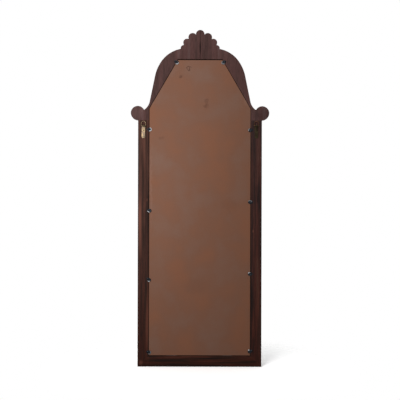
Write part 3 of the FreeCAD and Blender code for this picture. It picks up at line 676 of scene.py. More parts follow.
def dress(piece: Object, *materials: Material, angle: float = 32.0) -> None:
    """Give a piece its finishes and smooth shading.

    Args:
        piece: The piece.
        materials: Its finishes, in the order in which its faces count them.
        angle: Edges that turn by less than this, in degrees, are shaded smooth.
    """
    marks = [face.material_index for face in piece.data.polygons]
    piece.data.materials.clear()
    for material in materials:
        piece.data.materials.append(material)
    piece.data.polygons.foreach_set("material_index", marks)
    activate(piece)
    bpy.ops.object.shade_smooth_by_angle(angle=math.radians(angle))


def hand_over(piece: Object, body: str, slot: str, *nodes: str) -> None:
    """Let a piece ride on its body and stand for its solids.

    Args:
        piece: The piece.
        body: Its body.
        slot: Its slot in the record, not used.
        nodes: The solids it stands for.
    """
    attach(piece, body)
    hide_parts(*nodes)
    LOG.info("%s rides on %s, %d faces", piece.name, body, len(piece.data.polygons))


def finish_carving(piece: Object, wood: Material, node: str) -> None:
    """Dress one carving and let it stand for its solid."""
    dress(piece, wood, angle=CARVED_ANGLE)
    hand_over(piece, "frame", "dark_wood", node)


@dataclass(frozen=True)
class Seat:
    """Where one carved dome of the solid model sits on the front, and its size."""

    x: float
    z: float
    half_length: float
    half_width: float
    heading: float

    def place(self, flip: bool = False, mirror: bool = False) -> Matrix:
        """Where a unit carving goes: its length along +X, its middle at the origin, its foot at y = 0.

        Args:
            flip: Turns the tip to the other end.
            mirror: Swaps the carving's two sides.

        Returns:
            The matrix for the copy.
        """
        turn = Matrix.Rotation(-self.heading - (math.pi if flip else 0.0), 4, "Y")
        width = -self.half_width if mirror else self.half_width
        scale = Matrix.Diagonal((self.half_length, 1.0, width, 1.0))
        return Matrix.Translation((self.x, 0.0, self.z)) @ turn @ scale


def seats(source: Object) -> list[Seat]:
    """Find the separate domes of a carved solid.

    Args:
        source: The solid's object.

    Returns:
        A seat for each dome, from the top down.
    """
    shape = bmesh.new()
    shape.from_mesh(source.data)
    bmesh.ops.remove_doubles(shape, verts=shape.verts, dist=TOUCH)
    left = set(shape.verts)
    found = []
    while left:
        island, front = [], [left.pop()]
        while front:
            vertex = front.pop()
            island.append(vertex.co.copy())
            near = {edge.other_vert(vertex) for edge in vertex.link_edges} & left
            left -= near
            front.extend(near)
        xs, zs = [co.x for co in island], [co.z for co in island]
        x, z = (min(xs) + max(xs)) / 2, (min(zs) + max(zs)) / 2
        rays = sorted((math.hypot(co.x - x, co.z - z), co.x - x, co.z - z) for co in island)
        length, across, up = rays[-1]
        heading = math.atan2(up, across)
        width = max(abs(-math.sin(heading) * (co.x - x) + math.cos(heading) * (co.z - z)) for co in island)
        found.append(Seat(x, z, length, width, heading))
    shape.free()
    return sorted(found, key=lambda seat: -seat.z)


@dataclass(frozen=True)
class Pane:
    """The clipped outline of the pane, read from the glass."""

    half: float
    top_half: float
    shoulder: float
    top: float
    bottom: float

    @classmethod
    def of(cls, glass: Object) -> Pane:
        """Read the outline from the glass.

        Args:
            glass: The glass.

        Returns:
            The outline.
        """
        corners = sorted({(round(v.co.z, 6), round(v.co.x, 6)) for v in glass.data.vertices if v.co.x > 0})
        (bottom, half), (shoulder, _), (top, top_half) = corners
        return cls(half, top_half, shoulder, top, bottom)

    def holds(self, point: Vector) -> bool:
        """Tell whether a point lies in front of or behind the pane.

        Args:
            point: The point.

        Returns:
            True if the pane's outline holds it.
        """
        lean = (self.half - self.top_half) / (self.top - self.shoulder)
        limit = self.half - max(point.z - self.shoulder, 0.0) * lean
        return abs(point.x) < limit and self.bottom < point.z < self.top


@dataclass
class FrameBoards:
    """Stiles, bottom rail and the two arched shoulders, with eased edges and a rounded front edge."""

    frame: dict
    pane: Pane
    waxed: Material
    ease: float = 0.9 * MM
    sight_ease: float = 2.2 * MM
    front_round: float = 5.0 * MM
    hole_reach: float = 4.0 * MM
    groove: float = 3.0 * MM
    joint_slack: float = 0.3 * MM
    back_facing: float = 0.2

    def __post_init__(self) -> None:
        """Read the boards' levels and screw holes from the solid model."""
        low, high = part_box("stile_right")
        self.front, self.half, self.bottom, self.seam = low.y, high.x, low.z, high.z
        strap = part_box("hanger_strap_right")
        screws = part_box("hanger_screws")
        across = (strap[0].x + strap[1].x) / 2
        head = screws[1].x - across
        hinges = [joint["pos_m"] for joint in self.frame["joints"] if joint["child"].startswith("clip")]
        self.holes = [(x, z) for x, _, z in hinges]
        levels = (screws[0].z + head, screws[1].z - head)
        self.holes += [(side * across, z) for side in (1, -1) for z in levels]

    def in_joint(self, edge: BMEdge) -> bool:
        """Tell whether an edge meets another board.

        Args:
            edge: The edge.

        Returns:
            True if it lies in the middle, at a seam or along a mitre.
        """
        tests = (
            lambda p: p.x,
            lambda p: p.z - self.seam,
            lambda p: (self.half - abs(p.x)) - (p.z - self.bottom),
        )
        ends = [vertex.co for vertex in edge.verts]
        points = [*ends, (ends[0] + ends[1]) / 2]
        return any(all(abs(test(point)) < self.joint_slack for point in points) for test in tests)

    def in_groove(self, edge: BMEdge) -> bool:
        """True for the long edges of the groove behind the middle joint."""
        return edge.calc_length() > self.groove and all(abs(v.co.x) < self.groove for v in edge.verts)

    def in_hole(self, edge: BMEdge) -> bool:
        """True for the rim of a screw hole."""
        point = edge.verts[0].co
        return any(math.hypot(point.x - x, point.z - z) < self.hole_reach for x, z in self.holes)

    def over_pane(self, edge: BMEdge) -> bool:
        """True for an edge in front of the pane."""
        return self.pane.holds((edge.verts[0].co + edge.verts[1].co) / 2)

    def on_back(self, edge: BMEdge) -> bool:
        """True for a free edge of the back, off joints, groove and screw holes."""
        kept = (self.in_joint, self.in_groove, self.in_hole)
        return is_sharp_at(edge, 0.0) and not any(test(edge) for test in kept)

    def on_front(self, edge: BMEdge) -> bool:
        """True for a free edge of the front."""
        return is_sharp_at(edge, self.front) and not self.in_joint(edge)

    def build(self, node: str, stained: Material) -> None:
        """Soften one board and dress it, waxed on its front and edges.

        Args:
            node: The board's solid.
            stained: The finish of its back.
        """
        piece = borrowed(self.frame["nodes"][node], f"{node}_board")
        bevel(piece, self.on_back, self.ease, 2)
        bevel(piece, lambda e: self.on_front(e) and self.over_pane(e), self.sight_ease, 3)
        bevel(piece, lambda e: self.on_front(e) and not self.over_pane(e), self.front_round, 5)
        for face in piece.data.polygons:
            face.material_index = int(face.normal.y < self.back_facing)
        dress(piece, stained, self.waxed)
        hand_over(piece, "frame", "dark_wood", node)


@dataclass
class ShellCrest:
    """The fluted shell on the crest: round ribs that open towards the lobes, over a rosette hub.

    Each drop is one lobe in mm, from the middle outwards: place across, drop below the crest's top, radius.
    """

    wood: Material
    drops: tuple[tuple[float, float, float], ...] = (
        (0.0, 21.3, 21.3),
        (37.7, 36.6, 21.3),
        (66.0, 62.4, 18.5),
        (82.0, 91.0, 15.5),
    )
    ribs: int = 7
    lip: float = 0.16
    bead_pitch: float = 7.0 * MM
    bead_depth: float = 0.35 * MM
    flute_depth: float = 1.6 * MM
    flute_width: float = 0.2
    hub_drop: float = 121.0 * MM
    hub_radius: float = 22.0 * MM
    hub_height: float = 13.0 * MM
    margin: float = 2.5 * MM
    root: float = 8.0 * MM
    ground: float = 1.2 * MM
    rib_height: float = 11.0 * MM
    rows: int = 44
    rib_columns: int = 18

    def __post_init__(self) -> None:
        """Place the lobes under the crest's top and work out the bearing of each from the hub."""
        self.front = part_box("shell_carving")[1].y
        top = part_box("shoulder_right")[1].z
        self.hub_z = top - self.hub_drop
        self.lobes = [(x * MM, top - drop * MM, radius * MM) for x, drop, radius in self.drops]
        self.bearings = [math.atan2(x, z - self.hub_z) for x, z, _ in self.lobes]
        self.bearings.append(2 * self.bearings[-1] - self.bearings[-2])

    def bearing(self, rib: float) -> float:
        """Find the bearing of a place on the shell.

        Args:
            rib: The place, counted in ribs from the middle one.

        Returns:
            Its bearing, in radians.
        """
        whole = min(int(abs(rib)), len(self.bearings) - 2)
        low, high = self.bearings[whole:whole + 2]
        return math.copysign(low + (high - low) * (abs(rib) - whole), rib)

    def rim(self, bearing: float) -> float:
        """Find the scalloped rim along a bearing.

        Args:
            bearing: The bearing, in radians.

        Returns:
            How far the rim lies from the hub there.
        """
        reach = 0.0
        for x, z, radius in self.lobes:
            run = math.sin(abs(bearing)) * x + math.cos(bearing) * (z - self.hub_z)
            miss = x * x + (z - self.hub_z) ** 2 - run * run
            reach = max(reach, run + math.sqrt(max((radius - self.margin) ** 2 - miss, 0.0)))
        return reach

    def relief(self, u: float, v: float) -> Vector:
        """Shape the carved surface.

        Args:
            u: From the hub to the rim.
            v: Across the ribs.

        Returns:
            The point there.
        """
        rib = (v - 0.5) * self.ribs
        bearing = self.bearing(rib)
        reach = self.root + (self.rim(bearing) - self.root) * u
        side = 2 * (rib - round(rib))
        ridge = math.cos(side * math.pi / 2) ** 0.75 if abs(side) < 1 else 0.0
        lip = math.sqrt(max(1 - (max(u - (1 - self.lip), 0.0) / self.lip) ** 2, 0.0))
        rise = u ** 0.55
        bead = self.bead_depth * math.cos(2 * math.pi * reach / self.bead_pitch) * rise
        flute = self.flute_depth * math.exp(-((side / self.flute_width) ** 2)) * rise
        height = self.ground + max((self.rib_height * ridge * rise - flute + bead * ridge) * lip, 0.0)
        x, z = reach * math.sin(bearing), self.hub_z + reach * math.cos(bearing)
        return Vector((x, self.front - height, z))

    def build(self) -> None:
        """Carve the shell and its hub."""
        grid = (self.rows, self.ribs * self.rib_columns)
        fan = carved("shell_fan", grid, self.relief, self.front)
        hub = Rosette(self.hub_radius, self.hub_height).model("shell_hub")
        hub.data.transform(Matrix.Translation((0.0, self.front, self.hub_z)))
        finish_carving(joined([fan, hub], "carved_shell"), self.wood, "shell_carving")


@dataclass
class Rosette:
    """A round rosette: an outer ring of veined petals, an inner ring set between them, and a seeded boss.

    Petals and seeds are counted round the middle. From notch on come shares of the radius, and from vein on
    shares of the height.
    """

    radius: float
    height: float
    rows: int = 36
    petal_columns: int = 18
    petals: int = 8
    notch: float = 0.14
    petal_start: float = 0.36
    tuft_start: float = 0.2
    tuft_length: float = 0.42
    boss: float = 0.27
    seeded: float = 0.25
    seeds: int = 6
    vein: float = 0.10
    petal_height: float = 0.52
    tuft_height: float = 0.72
    boss_foot: float = 0.62
    seed_depth: float = 0.05
    ground: float = 0.10

    def relief(self, u: float, v: float) -> Vector:
        """Shape the carved surface about the origin.

        Args:
            u: From the middle outwards.
            v: Once round.

        Returns:
            The point there.
        """
        turn = 2 * math.pi * v
        outer = abs(math.cos(turn * self.petals / 2))
        inner = abs(math.sin(turn * self.petals / 2))
        reach = self.radius * u * (1 - self.notch + self.notch * outer ** 0.6)
        petal = max(u - self.petal_start, 0.0) / (1 - self.petal_start)
        leaf = self.petal_height * math.sin(math.pi * min(petal, 1.0) ** 0.8) * (0.3 + 0.7 * outer ** 0.5)
        leaf -= self.vein * math.exp(-((1 - outer) / 0.03) ** 2) * math.sin(math.pi * petal)
        ring = min(max(u - self.tuft_start, 0.0) / self.tuft_length, 1.0)
        tuft = self.tuft_height * math.sin(math.pi * ring) * (0.45 + 0.55 * inner ** 0.5)
        dome = 0.0
        if u < self.boss:
            dome = self.boss_foot + (1 - self.boss_foot) * math.sqrt(1 - (u / self.boss) ** 2)
        if u < self.seeded:
            pits = (1 + math.cos(turn * self.seeds) * math.cos(u * 70)) / 2
            dome -= self.seed_depth * pits * min(u / 0.03, 1.0)
        rim = min((1 - u) / 0.04, 1.0)
        height = self.height * max(self.ground + self.ground * rim, leaf, tuft, dome)
        return Vector((reach * math.cos(turn), -height, reach * math.sin(turn)))

    def model(self, name: str) -> Object:
        """Carve the rosette about the origin, its foot at y = 0."""
        return carved(name, (self.rows, self.petals * self.petal_columns), self.relief, 0.0)


@dataclass
class FrontCarving:
    """Rosettes on ears, corners and rail, leaves along the arch and husks down the stiles and the rail.

    The husk's petals and bud are given as where they sit along and across the unit husk, and their shares of
    the leaf's length, height and width.
    """

    frame: dict
    wood: Material
    leaf_grid: tuple[int, int] = (40, 20)
    leaf_height: float = 7.6 * MM
    leaf_ground: float = 0.8 * MM
    lobes: int = 5
    lobe_depth: float = 0.16
    midrib_depth: float = 0.26
    midrib_width: float = 0.13
    vein_depth: float = 0.13
    middle_seat: tuple[float, float] = (0.08, 0.0)
    middle_petal: tuple[float, float, float] = (0.92, 1.0, 0.62)
    side_seat: tuple[float, float] = (-0.22, 0.42)
    side_petal: tuple[float, float, float] = (0.66, 0.8, 0.5)
    side_turn: float = 24.0
    bud_seat: float = -0.84
    bud: tuple[float, float, float] = (0.16, 5.0 * MM, 0.34)

    def __post_init__(self) -> None:
        """Read the front plane from the solid model."""
        self.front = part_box("stile_right")[0].y

    def leaf_relief(self, u: float, v: float) -> Vector:
        """Shape a unit leaf along +X: a lobed edge, a grooved midrib and slanting veins.

        Args:
            u: From stalk to tip.
            v: Across the leaf.

        Returns:
            The point there.
        """
        side = 2 * v - 1
        swell = math.sin(math.pi * min(0.02 + u * 0.98, 1.0) ** 0.8) ** 0.75
        lobing = 1 - self.lobe_depth * abs(math.sin(self.lobes * math.pi * u)) ** 3
        width = max(swell * lobing, 0.015)
        crown = max(1 - abs(side) ** 2.2, 0.0) ** 0.6 * (0.25 + 0.75 * math.sin(math.pi * u ** 0.9) ** 0.8)
        rib = self.midrib_depth * math.exp(-((side / self.midrib_width) ** 2)) * math.sin(math.pi * u) ** 0.5
        slant = math.cos(2 * math.pi * (self.lobes * u - 0.9 * abs(side)))
        vein = self.vein_depth * (0.5 + 0.5 * slant) * abs(side) ** 0.7
        height = self.leaf_height * max(crown - rib - vein * math.sin(math.pi * u), 0.0)
        return Vector((2 * u - 1, -height - self.leaf_ground, side * width))

    def husk(self, leaf: Object) -> Object:
        """Make the unit husk: two side petals that open under a longer middle one, and a round bud on top.

        Args:
            leaf: The unit leaf.

        Returns:
            The husk, along +X.
        """
        petals = []
        for name, (along, across), size, angle in (
            ("husk_middle", self.middle_seat, self.middle_petal, 0.0),
            ("husk_side", self.side_seat, self.side_petal, -self.side_turn),
            ("husk_side", (self.side_seat[0], -self.side_seat[1]), self.side_petal, self.side_turn),
        ):
            turn = Matrix.Rotation(math.radians(angle), 4, "Y")
            place = Matrix.Translation((along, 0, across)) @ turn @ Matrix.Diagonal((*size, 1.0))
            petals.append(copied(leaf, name, place))
        bud = added("uv_sphere", segments=16, ring_count=8, radius=1.0)
        place = Matrix.Translation((self.bud_seat, -self.leaf_ground, 0))
        bud.data.transform(place @ Matrix.Diagonal((*self.bud, 1.0)))
        with editing(bud, "VERT", "SELECT"):
            bpy.ops.mesh.bisect(plane_co=(0, 0, 0), plane_no=(0, 1, 0), use_fill=True, clear_outer=True)
        return joined(petals + [bud], "unit_husk")

    def spread(self, master: Object, places: list[Matrix], name: str) -> Object:
        """Set copies of one carving on the front and join them."""
        lift = Matrix.Translation((0.0, self.front, 0.0))
        return joined([copied(master, name, lift @ place) for place in places], name)

    def build(self) -> None:
        """Carve everything on the front but the shell and the beads."""
        nodes = self.frame["nodes"]
        leaf = carved("unit_leaf", self.leaf_grid, self.leaf_relief, 0.0)
        husk = self.husk(leaf)
        for side in ("right", "left"):
            for kind in ("rosette", "corner_rosette"):
                low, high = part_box(f"{kind}_{side}")
                piece = Rosette((high.x - low.x) / 2, high.y - low.y).model(f"carved_{kind}_{side}")
                middle = Vector(((low.x + high.x) / 2, self.front, (low.z + high.z) / 2))
                piece.data.transform(Matrix.Translation(middle))
                finish_carving(piece, self.wood, f"{kind}_{side}")
            for master, kind, name, mirror in (
                (leaf, "leaf_spray", "carved_leaves", side == "left"),
                (husk, "husk_drop", "carved_husks", False),
            ):
                found = seats(nodes[f"{kind}_{side}"])
                places = [seat.place(math.sin(seat.heading) > 0, mirror) for seat in found]
                piece = self.spread(master, places, f"{name}_{side}")
                finish_carving(piece, self.wood, f"{kind}_{side}")
        self.build_rail(husk)
        for master in (leaf, husk):
            bpy.data.objects.remove(master)

    def build_rail(self, husk: Object) -> None:
        """Carve the rail's boss and the husks on both sides of it.

        Args:
            husk: The unit husk.
        """
        places, boss = [], None
        for seat in seats(self.frame["nodes"]["rail_carving"]):
            if abs(seat.x) < TOUCH:
                boss = seat
            else:
                places.append(seat.place(flip=math.cos(seat.heading) * seat.x < 0))
        low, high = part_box("rail_carving")
        middle = Rosette(boss.half_length, high.y - low.y).model("rail_boss")
        middle.data.transform(Matrix.Translation((0.0, self.front, boss.z)))
        piece = joined([middle, self.spread(husk, places, "rail_husks")], "carved_rail")
        finish_carving(piece, self.wood, "rail_carving")


@dataclass
class SightBeads:
    """The bead round the sight edge, carved as a twisted rope."""

    frame: dict
    wood: Material
    pitch: float = 15.0 * MM
    step: float = 2.2 * MM
    sides: int = 12
    twist_depth: float = 0.24

    def path(self, node: str) -> list[Vector]:
        """The line along the top of a bead.

        Args:
            node: The bead's solid.

        Returns:
            Points in order from one end to the other.
        """
        vertices = [v.co for v in self.frame["nodes"][node].data.vertices]
        top = min(co.y for co in vertices)
        crest = {(round(co.x, 6), round(co.z, 6)) for co in vertices if co.y < top + TOUCH}
        key = (lambda p: p[0]) if node.endswith("bottom") else (lambda p: (p[1], -abs(p[0])))
        return [Vector((x, 0.0, z)) for x, z in sorted(crest, key=key)]

    def strip(self, node: str, name: str) -> Object:
        """Carve the rope along one bead.

        Args:
            node: The bead's solid.
            name: The piece's name.

        Returns:
            The closed strip.
        """
        points = self.path(node)
        low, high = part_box(node)
        front, radius = high.y, high.y - low.y
        runs = [(b - a).length for a, b in zip(points, points[1:])]
        total = sum(runs)
        count = int(total / self.step)

        def at(distance: float) -> tuple[Vector, Vector]:
            """Follow the path for a distance.

            Args:
                distance: How far along.

            Returns:
                The point, and the way the path runs there.
            """
            for start, end, run in zip(points, points[1:], runs):
                if distance <= run + TOUCH:
                    return start.lerp(end, min(distance / run, 1.0)), (end - start).normalized()
                distance -= run
            return points[-1], (points[-1] - points[-2]).normalized()

        line = [at(total * index / count) for index in range(count + 1)]
        ways = [way for _, way in line]
        beside = zip(ways[:1] + ways, ways, ways[1:] + ways[-1:])
        smooth = [(before + way + after).normalized() for before, way, after in beside]

        def relief(u: float, v: float) -> Vector:
            """Shape the rope's surface.

            Args:
                u: Along the rope.
                v: Round it and back across its foot.

            Returns:
                The point there.
            """
            index = round(u * count)
            point, way = line[index][0], smooth[index]
            side = round(v * (self.sides + 1)) % (self.sides + 1)
            angle = math.pi * side / self.sides
            phase = 2 * math.pi * total * u / self.pitch - 2 * angle
            lobe = abs(math.cos(phase / 2)) ** 0.6
            reach = radius * (1 - self.twist_depth * (1 - lobe) * math.sin(angle) ** 0.5)
            across = Vector((way.z, 0.0, -way.x)) * (reach * math.cos(angle))
            return point + across + Vector((0.0, front - reach * math.sin(angle), 0.0))

        return carved(name, (count, self.sides + 1), relief)

    def build(self) -> None:
        """Carve all five strips."""
        for part in ("left", "right", "bottom", "arch_left", "arch_right"):
            piece = self.strip(f"sight_bead_{part}", f"rope_bead_{part}")
            finish_carving(piece, self.wood, f"sight_bead_{part}")


@dataclass(frozen=True)
class ClipGlint:
    """The arc of a clip's rim that carries a painted glint: its middle and half its spread, in degrees.

    The middle is turned from level towards the viewer's right, upwards, as seen from behind.
    """

    middle: float
    half_spread: float
    # A dull arc is a dimmer painted glint.
    dull: bool = False


@dataclass
class TurnClips:
    """Pressed steel turn clips: a round eye for the screw and a dished round nose over the board's edge.

    Steel is the finish all over, bright that of a painted glint on the rim, and dull that of a dimmer painted
    glint.
    """

    frame: dict
    steel: Material
    bright: Material
    dull: Material
    eye: float = 6.3 * MM
    nose: float = 9.5 * MM
    reach: float = 8.5 * MM
    depth: float = 1.5 * MM
    edge: float = 0.55 * MM
    hole: float = 2.1 * MM
    rim: float = 3.7 * MM
    dish_radius: float = 5.4 * MM
    dish_depth: float = 1.0 * MM

    def master(self) -> Object:
        """Model the clip once, its eye at the origin and its nose along +X.

        Returns:
            The clip.
        """
        upright = (math.pi / 2, 0, 0)
        clip = added("cylinder", vertices=48, radius=self.eye, depth=self.depth, rotation=upright)
        bpy.ops.object.transform_apply(rotation=True)
        swell = self.nose / self.eye
        flank = -self.eye * (self.nose - self.eye) / self.reach
        with editing(clip, "VERT"):
            pick(clip, "verts", lambda v: v.co.x > flank)
            bpy.ops.transform.resize(value=(swell, 1, swell), center_override=(0, 0, 0))
            bpy.ops.transform.translate(value=(self.reach, 0, 0))
        top = self.depth / 2
        with editing(clip, "FACE"):
            pick(clip, "faces", lambda f: f.normal.y > FACING)
            bpy.ops.mesh.inset(thickness=self.rim)
        bevel(clip, lambda edge: is_sharp_at(edge, top), self.edge, 3)
        ball = (self.dish_radius ** 2 + self.dish_depth ** 2) / (2 * self.dish_depth)
        middle = (self.reach, top - self.dish_depth + ball, 0)
        hollowed(clip, added("uv_sphere", segments=64, ring_count=48, radius=ball, location=middle))
        depth = self.depth * 2
        hollowed(clip, added("cylinder", vertices=32, radius=self.hole, depth=depth, rotation=upright))
        return clip

    def lighten(self, piece: Object, nose: Vector, mark: ClipGlint) -> None:
        """Give the flat rim of one clip its painted glint along an arc.

        Args:
            piece: The clip in its place.
            nose: The middle of its nose.
            mark: The arc.
        """
        middle = math.radians(mark.middle)
        aim = Vector((-math.cos(middle), 0.0, math.sin(middle)))
        least = math.cos(math.radians(mark.half_spread))
        for face in piece.data.polygons:
            ray = face.center - nose
            ray.y = 0.0
            on_rim = face.normal.y > FACING and self.nose - self.rim < ray.length < self.nose
            face.material_index = int(on_rim and ray.normalized().dot(aim) > least)

    def build(self) -> None:
        """Set a copy on each clip's hinge, turned as its solid is."""
        clip = self.master()
        for joint in self.frame["joints"]:
            node = joint["child"]
            if not node.startswith("clip"):
                continue
            eye = Vector(joint["pos_m"])
            rays = [vertex.co - eye for vertex in self.frame["nodes"][node].data.vertices]
            tip = max(rays, key=lambda ray: ray.xz.length)
            turn = Matrix.Rotation(-math.atan2(tip.z, tip.x), 4, "Y")
            piece = copied(clip, f"{node}_pressed", Matrix.Translation(eye) @ turn)
            # The painted glint on this clip's rim.
            mark = CLIP_GLINTS[node]
            dress(piece, self.steel, self.dull if mark.dull else self.bright)
            self.lighten(piece, eye + turn @ Vector((self.reach, 0.0, 0.0)), mark)
            hand_over(piece, node, "clip_steel", node)
        bpy.data.objects.remove(clip)


@dataclass
class Hangers:
    """Strap hangers, their D-rings and all the screws, with the straps' sharp edges taken off."""

    frame: dict
    ease: float = 0.35 * MM

    def build(self, node: str, body: str, slot: str, *metals: Material) -> None:
        """Soften and dress one piece of hardware.

        Args:
            node: Its solid.
            body: The body it rides on.
            slot: Its slot in the record.
            metals: Its finish, and a second one in painted shade for what lies on the left stile.
        """
        piece = borrowed(self.frame["nodes"][node], f"{node}_metal")
        if "strap" in node:
            bevel(piece, is_sharp, self.ease, 2)
        for face in piece.data.polygons:
            face.material_index = int(len(metals) > 1 and face.center.x < 0)
        dress(piece, *metals)
        hand_over(piece, body, slot, node)


@dataclass
class PaneStack:
    """The stack in the rabbet, of which only the backing board needs eased edges."""

    frame: dict
    board: Material
    ease: float = 0.6 * MM

    def build(self) -> None:
        """Ease the backing board's edges and dress it."""
        piece = borrowed(self.frame["nodes"]["backing_board"], "backing_panel")
        bevel(piece, lambda edge: is_sharp_at(edge, 0.0), self.ease, 2)
        dress(piece, self.board)
        hand_over(piece, "frame", "hardboard", "backing_board")


class Reach(Enum):
    """What a lamp lights: only the mirror or only the floor, as the floor's state in the lamp's group."""

    MIRROR = "EXCLUDE"
    FLOOR = "INCLUDE"


@dataclass(frozen=True)
class Lamp:
    """A square softbox: place, side in metres, watts, what it lights, and whether the glass may show it."""

    name: str
    place: tuple[float, float, float]
    size: float
    power: float
    reach: Reach = Reach.MIRROR
    mirrored: bool = True


@dataclass
class Studio:
    """White floor and background, lamps high, at the side, in front and for the floor, and the camera."""

    level: float
    picture: int = 400
    mm_per_pixel: float = 4.99
    middle_column: float = 199.8
    foot_row: float = 366.75
    distance: float = 3.6
    sensor_mm: float = 36.0
    roll: float = -0.16
    floor_radius: float = 0.85
    floor_fade: tuple[float, float] = (0.15, 0.98)
    floor_gain: float = 2.1
    floor_bounce: float = 0.8
    ambient: float = 0.3
    lamps: tuple[Lamp, ...] = (
        Lamp("high_softbox", (0.35, 2.3, 2.4), 1.4, 55.0),
        Lamp("side_softbox", (0.9, 1.2, -0.25), 0.8, 12.5),
        Lamp("front_softbox", (-1.1, -2.0, 1.4), 1.2, 45.0, mirrored=False),
        Lamp("floor_softbox", (0.71, 2.0, 3.8), 0.9, 80.0, Reach.FLOOR),
    )
    aim: tuple[float, float, float] = (0.0, 0.0, -0.4)

    def floor(self) -> Object:
        """Lay the floor: a disc that fades out, white where its lamp reaches it, and keeps the shadow.

        Returns:
            The disc.
        """
        size = {"vertices": 96, "radius": self.floor_radius, "fill_type": "NGON"}
        disc = added("circle", **size, location=(0, 0, self.level))
        disc.name = "floor"
        material = bpy.data.materials.new("white studio floor")
        material.use_nodes = True
        nodes = material.node_tree.nodes
        nodes.remove(nodes["Principled BSDF"])
        node = partial(add_node, material.node_tree)
        reach = node("VectorMath", (node("TexCoord").outputs["Object"],), operation="LENGTH")
        rim = (reach, *(self.floor_radius * share for share in self.floor_fade))
        fade = node("MapRange", rim, interpolation_type="SMOOTHSTEP")
        seen = node("LightPath").outputs["Is Camera Ray"]
        gain = node("MapRange", (seen, 0.0, 1.0, self.floor_bounce, self.floor_gain))
        white = node("BsdfDiffuse", {"Color": gain})
        mix = node("MixShader", (fade, white, node("BsdfTransparent")))
        feed(nodes["Material Output"], {"Surface": mix})
        disc.data.materials.append(material)
        disc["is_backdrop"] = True
        return disc

    def world(self) -> None:
        """A white background for the camera, glass and metal, and an even fill for the rest."""
        world = bpy.data.worlds.new("studio")
        bpy.context.scene.world = world
        world.use_nodes = True
        node = partial(add_node, world.node_tree)
        path = node("LightPath")
        seen = path.outputs["Is Camera Ray"]
        for other in ("Is Glossy Ray", "Is Transmission Ray"):
            seen = node("Math", (seen, path.outputs[other]), operation="MAXIMUM")
        strength = node("MapRange", (seen, 0.0, 1.0, self.ambient, 1.0))
        feed(world.node_tree.nodes["Background"], {"Strength": strength, "Color": linear("#ffffff")})

    def hang(self, lamp: Lamp, disc: Object) -> None:
        """Hang one lamp and turn it to the mirror.

        Args:
            lamp: The lamp.
            disc: The floor, which the lamp leaves out or lights alone.
        """
        light = bpy.data.lights.new(lamp.name, "AREA")
        light.energy = lamp.power
        light.shape = "SQUARE"
        light.size = lamp.size
        box = bpy.data.objects.new(lamp.name, light)
        box.location = lamp.place
        box.visible_camera = False
        box.visible_glossy = lamp.mirrored
        box.rotation_euler = (Vector(self.aim) - Vector(lamp.place)).to_track_quat("-Z", "Y").to_euler()
        group = bpy.data.collections.new(f"{lamp.name}_reach")
        group.objects.link(disc)
        group.collection_objects[0].light_linking.link_state = lamp.reach.value
        box.light_linking.receiver_collection = group
        bpy.context.scene.collection.objects.link(box)

    def camera(self) -> None:
        """Stand the camera level behind the mirror so that the picture's scale and foot match."""
        data = bpy.data.cameras.new("camera")
        scale = self.mm_per_pixel * MM
        data.sensor_width = self.sensor_mm
        data.lens = self.sensor_mm * self.distance / (self.picture * scale)
        across = (self.middle_column - self.picture / 2) * scale
        height = self.level + (self.foot_row - self.picture / 2) * scale
        camera = bpy.data.objects.new("camera", data)
        camera.location = (across, self.distance, height)
        camera.rotation_euler = (math.radians(90), math.radians(self.roll), math.radians(180))
        bpy.context.scene.collection.objects.link(camera)
        bpy.context.scene.camera = camera

    def build(self) -> None:
        """Set up the whole studio."""
        disc = self.floor()
        self.world()
        for lamp in self.lamps:
            self.hang(lamp, disc)
        self.camera()
        bpy.context.scene.view_settings.view_transform = "Standard"


BOARD_STAINS = (
    Spot(55, 270, 14, 18, 1.0, hollow=0.6),
    Spot(46, 262, 10, 12, 0.6),
    Spot(95, 225, 14, 12, 0.6),
    Spot(-32, 82, 15, 26, 0.5),
    Spot(-30, 104, 9, 9, 0.4),
    Spot(190, -80, 16, 10, 0.3),
    Spot(-150, -420, 60, 45, 0.12),
    Spot(20, -820, 90, 60, 0.1),
)
BOARD_SCUFFS = (
    Spot(238, 97, 10, 26, 0.4),
    Spot(-226, 107, 16, 30, 0.3),
    Spot(246, -300, 8, 300, 0.25),
)
OUTER_RUBS = (
    Spot(299, -520, 14, 200, 1.0),
    Spot(292, -1202, 14, 18, 0.6),
    Spot(258, -1010, 18, 240, 0.4),
    Spot(285, -150, 20, 150, 0.15),
    Spot(-297, -1000, 16, 260, 0.2),
    Spot(263, -390, 3, 12, 1.6),
    Spot(-266, -545, 3, 10, 1.3),
)
# Darker bands along both stiles' outer edges and along their inner edges beside the pane.
DARK_BANDS = (
    Spot(309, -610, 7, 900, 0.75),
    Spot(-309, -610, 7, 900, 0.75),
    Spot(259, -480, 16, 300, 0.55),
    Spot(255, -120, 9, 160, 0.5),
    Spot(290, -1000, 20, 260, 0.35),
    Spot(-258, -300, 12, 300, 0.4),
)
MIDDLE_CRACK = Spot(0.0, 371, 4.5, 52, 1.0)
# The -X ear darker as painted shade and the +X ear lighter as painted sheen.
PAINTED_SHADE_EAR = Spot(-318, 44, 60, 60, 0.3)
PAINTED_SHEEN_EAR = Spot(318, 44, 60, 50, 0.28)
# Painted glints on the clips' rims: where each arc lies and which ones are dimmer.
CLIP_GLINTS = {
    "clip_right_bottom": ClipGlint(-40.0, 95.0, dull=True),
    "clip_right_lower": ClipGlint(-125.0, 52.0),
    "clip_right_middle": ClipGlint(-145.0, 52.0),
    "clip_right_upper": ClipGlint(-10.0, 115.0),
    "clip_right_top": ClipGlint(-75.0, 75.0),
    "clip_left_bottom": ClipGlint(116.0, 42.0),
    "clip_left_lower": ClipGlint(115.0, 40.0),
    "clip_left_middle": ClipGlint(90.0, 60.0, dull=True),
    "clip_left_upper": ClipGlint(153.0, 50.0, dull=True),
    "clip_left_top": ClipGlint(-135.0, 90.0, dull=True),
}
